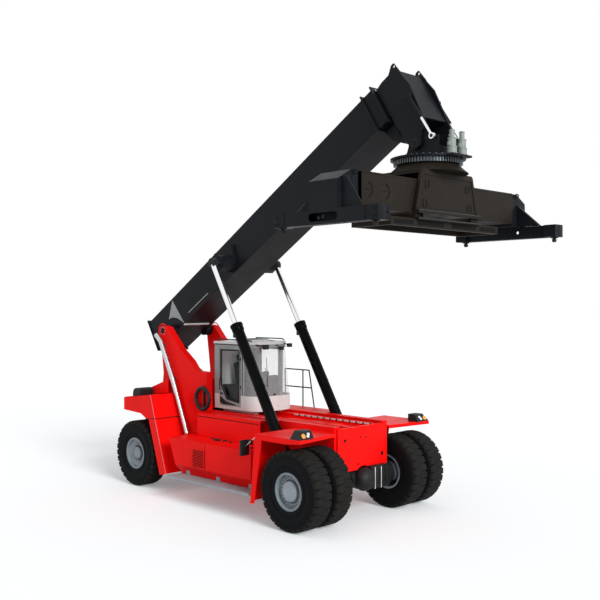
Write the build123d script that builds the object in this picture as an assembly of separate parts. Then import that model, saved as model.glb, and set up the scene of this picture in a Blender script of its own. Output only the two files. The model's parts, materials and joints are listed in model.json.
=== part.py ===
"""Reach stacker: a wheeled machine that lifts containers with a telescopic boom.

Lengths are in millimetres. X points forward, Y to the driver's left and Z up.
Everything is drawn about the point on the ground under the front axle, and moved
by FRAME_SHIFT when it is written, so that the origin is under the machine's middle.
"""
from build123d import *
from math import atan2, cos, degrees, hypot, pi, radians, sin
import os

# ---------------------------------------------------------------- driving sizes
FRAME_SHIFT = 1935            # front axle's X in the written frame
WHEELBASE = 6000
SIDES = (("right", -1), ("left", 1))

# wheels and tyres
TYRE_RADIUS = 815
TYRE_WIDTH = 500
RIM_SEAT = 372                # radius on which the tyre sits
RIM_INSIDE = 345
FLANGE_RADIUS = 385
DUAL_INNER_Y = 1220           # centres of the front dual tyres
DUAL_OUTER_Y = 1820
REAR_TYRE_Y = 1410
KING_PIN_Y = 1280
REAR_AXLE_X = -WHEELBASE
AXLE_Z = TYRE_RADIUS
FIT = 0.05                    # radial clearance of a pin or shaft in its bore

# chassis
FRAME_IN = 670                # inner and outer faces of the side members
FRAME_OUT = 850
FRAME_TOP = 1990
FRAME_BOTTOM = 760
SIDE_WALL = 30
FRONT_PLATE_X = 200
SIDE_BOX_OUT = 1750
SIDE_BOX_LOW = 690
STEP_OUT = 2070
FENDER_OUT = 2070
FENDER_TOP = 1880
REAR_BODY_OUT = 1650

# boom, in its own frame: s along the axis from the pivot, n square to it
BOOM_ANGLE = 31.75
PIVOT_X, PIVOT_Z = -5870, 3876
BOOM_HALF = 475
BOOM_LOW, BOOM_HIGH = -51, 759
BOOM_REAR, BOOM_FRONT = -920, 8430
INNER_HALF = 405
INNER_LOW, INNER_HIGH = 20, 690
INNER_REAR = 400
HEAD_FRONT = 9083
TILT_PIN = (1948, 7720)       # X and Z of the tilt pin, over the slewing axis
PIVOT_PIN = 75

# lift cylinders
CYL_Y = 1020
CYL_FOOT = (-1150, 1290)      # lower pin, X and Z
CYL_TOP = (2788, 221)         # upper pin, in the boom's frame
BOSS_HALF = 190               # eight-sided brackets on the boom behind the rods' eyes
BARREL_RADIUS = 125
BARREL_LENGTH = 3230
ROD_RADIUS = 68

# rotator and spreader, about the slewing axis
SLEW_X, TILT_Z = TILT_PIN
YOKE_BASE = 7450
GEAR_TOP = 7405
GEAR_LOW = 7310
BEAM_LOW, BEAM_HIGH = 6280, 6930
BEAM_HALF_X = 400
BEAM_HALF_Y = 2450
END_BEAM_LOW, END_BEAM_HIGH = 5970, 6230
LOCK_X, LOCK_Y = 1129.5, 2926.5
LOCK_TIP = 5866

# cab
CAB_REAR, CAB_FRONT = -4020, -2460          # front at the sill
CAB_HALF = 650
CAB_NOSE = 460
CAB_LEAN = 160                # the windscreen's lean from sill to roof
CAB_FLOOR, CAB_SILL, CAB_HEAD, CAB_TOP = 2050, 2400, 3520, 3660
DOOR_REAR, DOOR_FRONT = -3830, -3060


# ---------------------------------------------------------------- shape helpers
def solids_of(shape):
    """Every solid in a shape, or in a list of shapes."""
    found = shape if isinstance(shape, (list, tuple)) else [shape]
    return [solid for item in found for solid in item.solids()]


def group(*pieces):
    """Pieces that stay apart, as one compound."""
    return Compound([solid for piece in pieces for solid in solids_of(piece)])


def union(*pieces):
    """Pieces that touch or overlap, as one solid."""
    solids = [solid for piece in pieces for solid in solids_of(piece)]
    return group(solids[0].fuse(*solids[1:]))


def cut(body, *tools):
    """The body without the tools' space."""
    tool_solids = [solid for tool in tools for solid in solids_of(tool)]
    return group(*[solid.cut(*tool_solids) for solid in solids_of(body)])


def box(x_span, y_span, z_span):
    """A box between two values on each axis."""
    sizes = [abs(span[1] - span[0]) for span in (x_span, y_span, z_span)]
    middle = [(span[0] + span[1]) / 2 for span in (x_span, y_span, z_span)]
    return Pos(*middle) * Box(*sizes)


def prism(outline, y_span, inset=0):
    """A flat outline of (x, z) points, drawn in by inset, filled between two Y values."""
    face = make_face(Polyline(*outline, close=True))
    if inset:
        face = offset(face, -inset, kind=Kind.INTERSECTION)
    low, high = sorted(y_span)
    return Location((0, high, 0), (90, 0, 0)) * extrude(face, high - low)


def slab(outline, z_span):
    """A flat outline of (x, y) points, filled between two heights."""
    face = make_face(Polyline(*outline, close=True))
    return Pos(0, 0, z_span[0]) * extrude(face, z_span[1] - z_span[0])


def rod(start, end, radius, bore=0):
    """A round bar or tube between two points."""
    start, end = Vector(*start), Vector(*end)
    plane = Plane(origin=start, z_dir=end - start)
    length = (end - start).length
    bar = Solid.make_cylinder(radius, length, plane)
    if not bore:
        return bar
    return cut(bar, Solid.make_cylinder(bore, length, plane))


def cross_rod(x, z, y_span, radius, bore=0):
    """A round bar or tube along Y."""
    return rod((x, y_span[0], z), (x, y_span[1], z), radius, bore)


def turned(profile, x, z):
    """A ring about a line along Y through (x, z), from (radius, y) points."""
    face = make_face(Polyline(*profile, close=True))
    return Pos(x, 0, z) * revolve(face, Axis.Y)


def both(piece):
    """A right-hand piece with its left-hand mirror image."""
    return group(piece, piece.mirror(Plane.XZ))


def sided(piece, sign):
    """A right-hand piece, or its mirror image on the left."""
    return piece if sign < 0 else group(piece.mirror(Plane.XZ))


BOOM_PLACE = Location((PIVOT_X, 0, PIVOT_Z), (0, -BOOM_ANGLE, 0))


def boom_point(s, n):
    """X and Z of a point given in the boom's frame."""
    angle = radians(BOOM_ANGLE)
    return (PIVOT_X + s * cos(angle) - n * sin(angle),
            PIVOT_Z + s * sin(angle) + n * cos(angle))


def in_boom_frame(x, z):
    """A point's s and n, from its X and Z."""
    angle = radians(BOOM_ANGLE)
    run, rise = x - PIVOT_X, z - PIVOT_Z
    return (run * cos(angle) + rise * sin(angle), rise * cos(angle) - run * sin(angle))


TILT_S, TILT_N = in_boom_frame(*TILT_PIN)


def on_boom(piece):
    """A piece drawn in the boom's frame, where s is X and n is Z, put in its place."""
    return group(BOOM_PLACE * piece)


# ---------------------------------------------------------------- wheels
# tyre section, half of it: radius, distance from the tyre's middle
TYRE_SECTION = [(RIM_SEAT, 190), (560, 250), (740, 235), (TYRE_RADIUS, 165)]


def tyre(x, y):
    """A tyre about its axle at one Y."""
    half = TYRE_SECTION
    profile = [(r, y - w) for r, w in half] + [(r, y + w) for r, w in reversed(half)]
    return turned(profile, x, AXLE_Z)


def rim_barrel(x, y_low, y_high):
    """A wheel's barrel with a flange at each end."""
    barrel = [(RIM_INSIDE, y_low), (FLANGE_RADIUS, y_low), (FLANGE_RADIUS, y_low + 14),
              (RIM_SEAT, y_low + 14), (RIM_SEAT, y_high - 14), (FLANGE_RADIUS, y_high - 14),
              (FLANGE_RADIUS, y_high), (RIM_INSIDE, y_high)]
    return turned(barrel, x, AXLE_Z)


def front_rims():
    """Right-hand hub drum that carries two tyres, bored for the axle's spindle."""
    barrel = rim_barrel(0, -DUAL_OUTER_Y - 212, -DUAL_INNER_Y + 212)
    disc = turned([(0, -1925), (RIM_INSIDE, -1925), (RIM_INSIDE, -1890), (0, -1890)], 0, AXLE_Z)
    hub = turned([(120 + FIT, -1002), (230, -1002), (230, -1890), (0, -1890), (0, -1705),
                  (120 + FIT, -1705)], 0, AXLE_Z)
    cap = turned([(0, -2012), (185, -2012), (205, -1992), (205, -1925), (0, -1925)], 0, AXLE_Z)
    return union(barrel, disc, hub, cap)


def rear_rim():
    """Right-hand steered wheel's rim, disc and hub, bored for the knuckle's spindle."""
    barrel = rim_barrel(REAR_AXLE_X, -REAR_TYRE_Y - 212, -REAR_TYRE_Y + 212)
    disc = turned([(130, -1505), (RIM_INSIDE, -1505), (RIM_INSIDE, -1478), (130, -1478)],
                  REAR_AXLE_X, AXLE_Z)
    hub = turned([(90 + FIT, -1395), (150, -1395), (150, -1560), (110, -1590), (0, -1590),
                  (0, -1552), (90 + FIT, -1552)], REAR_AXLE_X, AXLE_Z)
    return union(barrel, disc, hub)


def knuckle():
    """Right-hand steering knuckle: a block on the king pin with the wheel's spindle."""
    block = rod((REAR_AXLE_X, -KING_PIN_Y, AXLE_Z - 145), (REAR_AXLE_X, -KING_PIN_Y, AXLE_Z + 145), 88)
    spindle = cross_rod(REAR_AXLE_X, AXLE_Z, (-KING_PIN_Y, -1545), 90)
    bore = rod((REAR_AXLE_X, -KING_PIN_Y, AXLE_Z - 150), (REAR_AXLE_X, -KING_PIN_Y, AXLE_Z + 150), 45 + FIT)
    return cut(union(block, spindle), bore)


def steer_axle():
    """Rear axle beam with its king pins and the cradle that hangs it from the frame."""
    beam = box((REAR_AXLE_X - 120, REAR_AXLE_X + 120), (-1130, 1130), (AXLE_Z - 110, AXLE_Z + 110))
    cradle = box((REAR_AXLE_X - 260, REAR_AXLE_X + 260), (-230, 230), (AXLE_Z - 130, 1005))
    pieces = [beam, cradle]
    for _, sign in SIDES:
        y = sign * KING_PIN_Y
        for low in (AXLE_Z - 205, AXLE_Z + 150):
            pieces.append(box((REAR_AXLE_X - 75, REAR_AXLE_X + 75), (sign * 1060, y), (low, low + 55)))
            pieces.append(rod((REAR_AXLE_X, y, low), (REAR_AXLE_X, y, low + 55), 75))
        pieces.append(box((REAR_AXLE_X - 75, REAR_AXLE_X + 75), (sign * 1060, sign * 1130),
                          (AXLE_Z - 205, AXLE_Z + 205)))
        pieces.append(rod((REAR_AXLE_X, y, AXLE_Z - 200), (REAR_AXLE_X, y, AXLE_Z + 200), 45))
    return union(*pieces)


def drive_axle():
    """Front axle: differential bowl, tubes, brake housings, spindles and frame brackets."""
    pieces = [Pos(90, 0, AXLE_Z) * Sphere(235),
              cross_rod(0, AXLE_Z, (-330, 330), 200),
              box((-140, 140), (-815, 815), (AXLE_Z - 130, AXLE_Z + 130)),
              box((60, 290), (300, 780), (580, 1020)),

              box((-150, 150), (-FRAME_OUT + 20, -FRAME_IN - 20), (AXLE_Z, 1120)),
              box((-150, 150), (FRAME_IN + 20, FRAME_OUT - 20), (AXLE_Z, 1120))]
    for _, sign in SIDES:
        pieces.append(cross_rod(0, AXLE_Z, (sign * 800, sign * 992), 260))
        pieces.append(cross_rod(0, AXLE_Z, (sign * 900, sign * 1700), 120))
    return union(*pieces)


# ---------------------------------------------------------------- chassis
# side member with its boom tower: X and Z, from the front lower corner round the underside
SIDE_MEMBER = [(150, 1120), (-700, 1120), (-950, FRAME_BOTTOM), (-4800, FRAME_BOTTOM), (-4940, 1200),
               (-4940, 1700), (-6250, 1700), (-6250, 2150), (-5900, 2450), (-5850, 2800), (-5995, 3830),
               (-5930, 3985), (-5700, 3985), (-5560, 3840), (-5150, 3430), (-4740, 3150), (-4590, 2990),
               (-4450, 2915), (-4080, 2900), (-4080, FRAME_TOP), (150, FRAME_TOP)]


def side_member():
    """Right-hand box member: chassis rail and boom tower, with the lift cylinder's foot pin."""
    outer = prism(SIDE_MEMBER, (-FRAME_OUT, -FRAME_IN))
    hollow = prism(SIDE_MEMBER, (-FRAME_OUT + SIDE_WALL, -FRAME_IN - SIDE_WALL), SIDE_WALL)
    eye = cross_rod(PIVOT_X, PIVOT_Z, (-FRAME_OUT - 8, -FRAME_IN + 8), 125)
    foot = cross_rod(CYL_FOOT[0], CYL_FOOT[1], (-FRAME_IN, -945), 150)
    foot_pin = cross_rod(CYL_FOOT[0], CYL_FOOT[1], (-FRAME_IN, -1110), 60)
    bore = cross_rod(PIVOT_X, PIVOT_Z, (-FRAME_OUT - 20, -FRAME_IN + 20), PIVOT_PIN + FIT)
    return cut(union(cut(outer, hollow), eye, foot, foot_pin), bore)


# cross members between the rails: X span, Z span
CROSS_MEMBERS = [((-4900, -4780), (900, 1700)), ((-3000, -2880), (900, 1780)), ((-900, -800), (1150, 1800)),
                 ((-5560, -5440), (1750, 2300))]


def chassis_frame():
    """Both rails with their towers, the cross members and the narrow rear spine."""
    pieces = [side_member(), sided(side_member(), 1)]
    for x_span, z_span in CROSS_MEMBERS:
        pieces.append(box(x_span, (-FRAME_IN - 5, FRAME_IN + 5), z_span))
    for sign in (-1, 1):
        pieces.append(box((-6900, -4780), (sign * 380, sign * 470), (1010, 1700)))
    pieces.append(box((-6900, -4780), (-470, 470), (1660, 1700)))
    pieces.append(box((-6250, -5750), (-470, 470), (1005, 1060)))
    pieces.append(box((-6250, -4940), (-FRAME_IN - 5, FRAME_IN + 5), (1700, 1740)))
    return union(*pieces)


def front_plate():
    """Cross plate at the nose, arched over the axle."""
    outline = [(-790, 1950), (790, 1950), (790, 1060), (560, 1030), (-560, 1030), (-790, 1280)]
    face = Plane.YZ * make_face(Polyline(*outline, close=True))
    plate = Pos(FRONT_PLATE_X - 45, 0, 0) * extrude(face, 45)
    arch = rod((0, 0, AXLE_Z), (400, 0, AXLE_Z), 285)
    return cut(plate, arch, box((0, 300), (280, 800), (1000, 1035)))


def deck():
    """Floor between the rails with the cab's two running rails, and the outer walkways."""
    pieces = [box((-4070, 150), (-FRAME_IN, FRAME_IN), (1840, 1870))]
    for sign in (-1, 1):
        pieces.append(box((-3950, 140), (sign * 370, sign * 430), (1870, 1960)))
    pieces.append(box((-4060, -1850), (-1150, -FRAME_OUT), (1925, 1965)))
    pieces.append(box((-4060, -1850), (FRAME_OUT, 1500), (1925, 1965)))
    pieces.append(box((-4060, -1850), (-1150, -1110), (1415, 1925)))
    pieces.append(box((-4060, -1850), (1460, 1500), (1415, 1925)))
    return group(union(*pieces[:3]), union(pieces[3], pieces[5]), union(pieces[4], pieces[6]))


def side_boxes():
    """Closed tanks outside the rails, chamfered along their lower edges."""
    section = [(-SIDE_BOX_OUT, 800), (-SIDE_BOX_OUT + 70, SIDE_BOX_LOW), (-FRAME_OUT, SIDE_BOX_LOW),
               (-FRAME_OUT, 1410), (-SIDE_BOX_OUT, 1410)]
    face = Plane.YZ * make_face(Polyline(*section, close=True))
    core = Plane.YZ * offset(make_face(Polyline(*section, close=True)), -12, kind=Kind.INTERSECTION)
    ends = prism([(-4390, 1420), (-4390, 1405), (-4060, 610), (-4500, 610), (-4500, 1420)],
                 (-SIDE_BOX_OUT - 10, -FRAME_OUT + 10))
    inner_ends = Pos(14, 0, 0) * ends
    tank = cut(Pos(-4400, 0, 0) * extrude(face, 2950), ends)
    hollow = cut(Pos(-4388, 0, 0) * extrude(core, 2926), inner_ends)
    return both(cut(tank, hollow))


def steps():
    """Grey step plates along the tanks, on spacers."""
    plate = box((-4030, -1170), (-STEP_OUT, -1640), (560, 596))
    spacers = [box((x, x + 120), (-1680, -1640), (596, SIDE_BOX_LOW)) for x in (-3800, -2700, -1600)]
    return both(union(plate, *spacers))


def front_fenders():
    """Guards over the dual wheels: top plate, outer lip and the panel behind the tyres."""
    top = slab([(-950, -FENDER_OUT), (380, -FENDER_OUT), (210, -FRAME_OUT), (-950, -FRAME_OUT)],
               (FENDER_TOP - 30, FENDER_TOP))
    front = slab([(350, -FENDER_OUT), (380, -FENDER_OUT), (210, -FRAME_OUT), (180, -FRAME_OUT)],
                 (FENDER_TOP - 75, FENDER_TOP))
    lip = prism([(-950, FENDER_TOP), (380, FENDER_TOP), (380, FENDER_TOP - 75), (0, FENDER_TOP - 115),
                 (-950, FENDER_TOP - 115)], (-FENDER_OUT, -FENDER_OUT + 30))
    drop = prism([(-950, FENDER_TOP), (-905, FENDER_TOP), (-1050, 480), (-1095, 480)], (-FENDER_OUT, -1190))
    flange = prism([(-1095, 470), (-1135, 420), (-1000, 430), (-770, 1730), (-770, FENDER_TOP),
                    (-950, FENDER_TOP)], (-FENDER_OUT, -FENDER_OUT + 30))
    tie = prism([(-950, FENDER_TOP - 30), (-905, FENDER_TOP - 30), (-920, 1780), (-965, 1780)],
                (-1190, -FRAME_OUT))
    return both(union(top, front, lip, drop, flange, tie))


# rear body in plan: right-hand half of the tail, X and Y
REAR_PLAN = [(-6200, -REAR_BODY_OUT), (-6450, -REAR_BODY_OUT), (-7020, -1180), (-7040, -700)]
# its side panel, X and Z, from the tail over the top and down ahead of the tyre
REAR_PANEL = [(-6450, 1880), (-6220, 2218), (-5294, 2329), (-5109, 1760), (-4655, 481), (-4906, 419),
              (-5368, 1736), (-5511, 1750), (-5703, 1843)]
WALL = 30


def rear_fenders():
    """Hollow rear body: side panels, top cover, tail rim and the walls ahead of the tyres."""
    inside = -FRAME_OUT - 12
    panel = prism(REAR_PANEL, (-REAR_BODY_OUT, -REAR_BODY_OUT + WALL))
    cover = prism([(-6240, 2215), (-6220, 2218), (-5294, 2329), (-5284, 2299), (-6220, 2188)],
                  (-REAR_BODY_OUT, inside))
    wall = prism([(-5294, 2329), (-5109, 1760), (-4655, 481), (-4684, 472), (-5138, 1751), (-5320, 2300)],
                 (-REAR_BODY_OUT, inside))
    sides = both(union(panel, cover, wall))
    plan = REAR_PLAN + [(x, -y) for x, y in reversed(REAR_PLAN)]
    core = Pos(0, 0, 1800) * extrude(offset(make_face(Polyline(*plan, close=True)), -WALL, kind=Kind.INTERSECTION), 330)
    above = prism([(-7100, 2125), (-6450, 2190), (-6220, 2218), (-6000, 2244), (-6000, 2600), (-7100, 2600)],
                  (-REAR_BODY_OUT - 10, REAR_BODY_OUT + 10))
    below = prism([(-7100, 1800), (-7100, 1900), (-6450, 1880), (-5703, 1843), (-5703, 1800)],
                  (-REAR_BODY_OUT - 10, REAR_BODY_OUT + 10))
    tail = cut(slab(plan, (1850, 2400)), core, above, below, box((-6262, -6100), (inside, -inside), (1800, 2500)),
               box((-6235, -6100), (-REAR_BODY_OUT + WALL, REAR_BODY_OUT - WALL), (1800, 2170)))
    return union(tail, sides)


# hood's side outline: X and Z
HOOD = [(-6900, 2200), (-6240, 2400), (-5370, 2690), (-4300, 2720), (-4300, 2680), (-5360, 2650),
        (-6235, 2362), (-6860, 2170)]


def engine_hood():
    """Sloping cover over the engine, notched round the towers, with side skirts."""
    cover = prism(HOOD, (-1000, 1000))
    skirt = prism([(-6880, 2160), (-6240, 2390), (-5480, 2645), (-5480, 2325), (-6220, 2225)], (-1000, -960))
    tail = prism([(-4340, 1990), (-4340, 2700), (-4300, 2700), (-4300, 1990)], (-640, 640))
    notches = [box((-6260, -4080), (sign * (FRAME_IN - 12), sign * (FRAME_OUT + 12)), (1800, 2900))
               for sign in (-1, 1)]
    outside = [box((-5480, -4080), (sign * FRAME_OUT, sign * 1100), (1800, 2900)) for sign in (-1, 1)]
    below = prism([(-7100, 2000), (-7100, 2128), (-6450, 2193), (-6220, 2213), (-5300, 2333), (-5300, 2000)], (-1010, 1010))
    return cut(union(cover, both(skirt), tail), *notches, *outside, below)


def engine_block():
    """The engine and its gearbox, as one plain mass."""
    return union(box((-5400, -4400), (-360, 360), (1750, 2560)), box((-4400, -3300), (-300, 300), (900, 1700)),
                 box((-4720, -4400), (-300, 300), (1400, 1900)))


def counterweight():
    """Cast block behind the steered axle."""
    outline = [(-7030, 900), (-7030, 1860), (-6280, 1860), (-6280, 1700), (-6905, 1700), (-6905, 1010),
               (-6500, 1010), (-6500, 620), (-6880, 620)]
    return prism(outline, (-600, 600))


def exhaust_pipe():
    """Bright pipe up the outside of the right-hand tower, on two clamps."""
    route = [(-4735, -950, 1360), (-5340, -950, 2700), (-5830, -950, 3610), (-6030, -950, 3770)]
    path = FilletPolyline(*route, radius=120)
    start = Plane(origin=path @ 0, z_dir=path % 0)
    pipe = sweep(start * Circle(62), path=path)
    clamps = [box((x - 60, x + 60), (-900, -FRAME_OUT), (z - 25, z + 25)) for x, z in ((-5335, 2700), (-5780, 3520))]
    return union(pipe, *clamps)


def lamps():
    """Lamp boxes on the front guards and on the rear body."""
    front = prism([(90, FENDER_TOP), (370, FENDER_TOP), (290, FENDER_TOP + 165), (90, FENDER_TOP + 165)], (-2060, -1670))
    slope = Plane.YZ * make_face(Polyline((-2070, FENDER_TOP - 5), (-2070, FENDER_TOP + 175), (-1930, FENDER_TOP + 175),
                                          close=True))
    front = cut(front, extrude(slope, 500))
    rear = prism([(-6350, 2150), (-6350, 2310), (-6310, 2385), (-6230, 2425), (-6090, 2430), (-6030, 2400),
                  (-6010, 2340), (-6010, 2150)], (-1450, -1060))
    body = prism([(-6600, 2000), (-6600, 2175), (-6450, 2190), (-6220, 2218), (-5294, 2329), (-5294, 2000)], (-1500, -1000))
    return group(both(front), both(cut(rear, body)))


def mirrors():
    """Mirrors behind the front guards, each on a bent arm."""
    head = box((-1450, -1400), (-2060, -1830), (1360, 1690))
    arm = union(rod((-1400, -1950, 1560), (-1180, -1950, 1700), 12), rod((-1180, -1950, 1700), (-960, -1950, 1866), 12),
                Pos(-1180, -1950, 1700) * Sphere(12))
    return both(union(head, arm))


def handrail():
    """Rail along the left-hand walkway."""
    y = 1465
    posts = [rod((x, y, 1965), (x, y, 2890), 16) for x in (-3760, -3110)]
    front_post = rod((-2710, y, 1969), (-2890, y, 2890), 16)
    bars = [rod((-3760, y, 2890), (-2890, y, 2890), 16), rod((-3760, y, 2450), (-2805, y, 2450), 16)]
    balls = [Pos(x, y, 2890) * Sphere(16) for x in (-3760, -2890)]
    return union(*posts, front_post, *bars, *balls)


def hose_loop():
    """Looped hose that feeds the sliding cab, on a bracket beside the tower."""
    loop = Pos(-4150, -925, 2270) * Rot(90, 0, 0) * Torus(255, 46)
    bracket = box((-4170, -4130), (-900, -FRAME_OUT), (1990, 2510))
    return union(loop, bracket)


# ---------------------------------------------------------------- boom and lift cylinders
def outer_boom():
    """Fixed boom section: a box tube with a front collar, rear flange, pivot pins and cylinder lugs."""
    tube = box((BOOM_REAR, BOOM_FRONT), (-BOOM_HALF, BOOM_HALF), (BOOM_LOW, BOOM_HIGH))
    bore = box((BOOM_REAR + 200, BOOM_FRONT + 10), (-BOOM_HALF + 22, BOOM_HALF - 22), (BOOM_LOW + 25, BOOM_HIGH - 25))
    pieces = [cut(tube, bore)]
    for s in (BOOM_FRONT - 330, BOOM_FRONT - 30):
        ring = box((s, s + 30), (-BOOM_HALF - 55, BOOM_HALF + 55), (BOOM_LOW - 55, BOOM_HIGH + 50))
        pieces.append(cut(ring, bore))
    pieces.append(box((BOOM_REAR, BOOM_REAR + 35), (-BOOM_HALF - 25, BOOM_HALF + 25), (BOOM_LOW - 40, BOOM_HIGH + 70)))
    pieces.append(prism([(8110, -106), (8420, -106), (8400, -400), (8200, -400)], (-300, 300)))
    for sign in (-1, 1):
        pieces.append(cross_rod(0, 0, (sign * (BOOM_HALF - 20), sign * 655), 150))
        pieces.append(cross_rod(0, 0, (sign * (BOOM_HALF - 20), sign * (FRAME_OUT + 15)), PIVOT_PIN))
        lug = prism([(CYL_TOP[0] - 330, BOOM_HIGH - 40), (CYL_TOP[0] + 330, BOOM_HIGH - 200),
                     (CYL_TOP[0] + 170, CYL_TOP[1] - 120), (CYL_TOP[0] - 140, CYL_TOP[1] - 140),
                     (CYL_TOP[0] - 330, CYL_TOP[1] + 120)], (sign * (BOOM_HALF - 5), sign * 560))
        pieces.append(lug)
        boss = RegularPolygon(BOSS_HALF, 8, major_radius=False, rotation=22.5)
        pieces.append(Pos(CYL_TOP[0], sign * 670, CYL_TOP[1]) * Rot(90, 0, 0) * Pos(0, 0, -195) * extrude(boss, 390))
    return on_boom(union(*pieces))


def inner_boom():
    """Telescoping section with the head's cheek plates, tilt lugs and two lifting eyes."""
    tube = box((INNER_REAR, HEAD_FRONT - 5), (-INNER_HALF, INNER_HALF), (INNER_LOW, INNER_HIGH))
    bore = box((INNER_REAR - 5, HEAD_FRONT - 60), (-INNER_HALF + 20, INNER_HALF - 20), (INNER_LOW + 22, INNER_HIGH - 22))
    pieces = [cut(tube, bore)]
    cheek = [(8480, 700), (8480, -200), (8530, -760), (TILT_S - 150, TILT_N), (TILT_S - 100, TILT_N - 115),
             (TILT_S + 90, TILT_N - 120), (TILT_S + 250, -746), (HEAD_FRONT, -746), (HEAD_FRONT + 100, 254),
             (HEAD_FRONT + 40, 574), (HEAD_FRONT - 60, 740), (HEAD_FRONT - 420, 740)]
    for sign in (-1, 1):
        plate = prism(cheek, (sign * 385, sign * 425))
        eye = prism([(HEAD_FRONT - 230, 730), (HEAD_FRONT - 60, 860), (HEAD_FRONT + 10, 860),
                     (HEAD_FRONT + 50, 574), (HEAD_FRONT, 500)], (sign * 385, sign * 425))
        hole = cross_rod(HEAD_FRONT - 18, 800, (sign * 380, sign * 430), 32)
        pin_bore = cross_rod(TILT_S, TILT_N, (sign * 380, sign * 430), 60 + FIT)
        anchor = cross_rod(TILT_S + 395, TILT_N + 853, (sign * 420, sign * 436), 45)
        pieces.append(cut(union(plate, eye, anchor), hole, pin_bore))
    pieces.append(box((HEAD_FRONT - 40, HEAD_FRONT), (-386, 386), (-520, 640)))
    pieces.append(box((8480, 8520), (-386, 386), (-420, 60)))
    pieces.append(box((8480, HEAD_FRONT), (-386, 386), (-420, -385)))
    return on_boom(union(*pieces))


def cylinder_axis():
    """Foot point, upper point and unit direction of the lift cylinders, as X and Z."""
    top = boom_point(*CYL_TOP)
    run = (top[0] - CYL_FOOT[0], top[1] - CYL_FOOT[1])
    length = hypot(*run)
    return top, (run[0] / length, run[1] / length)


def along_cylinder(distance, y=-CYL_Y):
    """A point on the right-hand cylinder's axis at a distance from its foot pin."""
    _, way = cylinder_axis()
    return (CYL_FOOT[0] + way[0] * distance, y, CYL_FOOT[1] + way[1] * distance)


def lift_barrel():
    """Right-hand cylinder barrel: foot eye, tube, gland and port block."""
    tube = rod(along_cylinder(162), along_cylinder(BARREL_LENGTH), BARREL_RADIUS)
    bore = rod(along_cylinder(300), along_cylinder(BARREL_LENGTH + 10), ROD_RADIUS + 3)
    gland = rod(along_cylinder(BARREL_LENGTH - 130), along_cylinder(BARREL_LENGTH), BARREL_RADIUS + 8)
    foot = cross_rod(CYL_FOOT[0], CYL_FOOT[1], (-CYL_Y - 75, -CYL_Y + 65), 165)
    pin_hole = cross_rod(CYL_FOOT[0], CYL_FOOT[1], (-CYL_Y - 100, -CYL_Y + 100), 60 + FIT)
    return cut(union(tube, gland, foot), bore, pin_hole)


def lift_rod():
    """Right-hand cylinder rod with its eye and upper pin."""
    top, _ = cylinder_axis()
    total = hypot(top[0] - CYL_FOOT[0], top[1] - CYL_FOOT[1])
    bar = rod(along_cylinder(1792), along_cylinder(total), ROD_RADIUS)
    eye = cross_rod(top[0], top[1], (-CYL_Y - 60, -CYL_Y + 60), 118)
    pin = cross_rod(top[0], top[1], (-CYL_Y - 85, -871), 62)
    return union(bar, eye, pin)


# ---------------------------------------------------------------- rotator
DAMPER_Y = 475
DAMPER_EYE = (SLEW_X + 457, TILT_Z + 75)
DAMPER_AT = (TILT_S + 395, TILT_N + 853)       # upper anchor, in the boom's frame
DAMPER_ANCHOR = boom_point(*DAMPER_AT)


def damper_point(distance, y):
    """A point on the damper's axis at a distance from its upper anchor."""
    run = (DAMPER_EYE[0] - DAMPER_ANCHOR[0], DAMPER_EYE[1] - DAMPER_ANCHOR[1])
    length = hypot(*run)
    return (DAMPER_ANCHOR[0] + run[0] / length * distance, y, DAMPER_ANCHOR[1] + run[1] / length * distance)


def damper_barrels():
    """Barrels of the two tilt dampers."""
    y = -DAMPER_Y
    tube = rod(damper_point(0, y), damper_point(560, y), 38)
    eye = cross_rod(*DAMPER_ANCHOR, (y - 38, y + 38), 60)
    bore = rod(damper_point(80, y), damper_point(570, y), 28)
    return both(cut(union(tube, eye), bore))


def damper_rods():
    """Bright rods of the two tilt dampers, with their lower eyes."""
    length = hypot(DAMPER_EYE[0] - DAMPER_ANCHOR[0], DAMPER_EYE[1] - DAMPER_ANCHOR[1])
    y = -DAMPER_Y
    bar = rod(damper_point(316, y), damper_point(length, y), 25)
    eye = cross_rod(*DAMPER_EYE, (y - 26, y + 26), 62)
    return both(union(bar, eye))


def yoke():
    """Tilting yoke: two ears, tilt pin, head plate, spigot and the motors' shelf."""
    ear = [(SLEW_X - 350, YOKE_BASE), (SLEW_X - 250, YOKE_BASE + 120), (SLEW_X - 200, TILT_Z),
           (SLEW_X - 95, TILT_Z + 185), (SLEW_X + 56, TILT_Z + 280), (SLEW_X + 245, TILT_Z + 230),
           (SLEW_X + 350, TILT_Z + 130), (SLEW_X + 500, TILT_Z + 110), (SLEW_X + 500, YOKE_BASE)]
    pieces = [prism(ear, (sign * 300, sign * 350)) for sign in (-1, 1)]
    pieces.append(box((SLEW_X - 330, SLEW_X - 290), (-300, 300), (YOKE_BASE, YOKE_BASE + 90)))
    pieces.append(box((SLEW_X + 400, SLEW_X + 440), (-300, 300), (YOKE_BASE, YOKE_BASE + 200)))
    pieces.append(cross_rod(SLEW_X, TILT_Z, (-428, 428), 60))
    for sign in (-1, 1):
        pieces.append(cross_rod(*DAMPER_EYE, (sign * 340, sign * (DAMPER_Y - 32)), 30))
    pieces.append(rod((SLEW_X, 0, GEAR_TOP + 6), (SLEW_X, 0, YOKE_BASE), 750))
    pieces.append(box((SLEW_X + 400, SLEW_X + 830), (-320, 320), (GEAR_TOP + 6, YOKE_BASE)))
    pieces.append(rod((SLEW_X, 0, 7180), (SLEW_X, 0, YOKE_BASE), 250))
    return union(*pieces)


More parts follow.
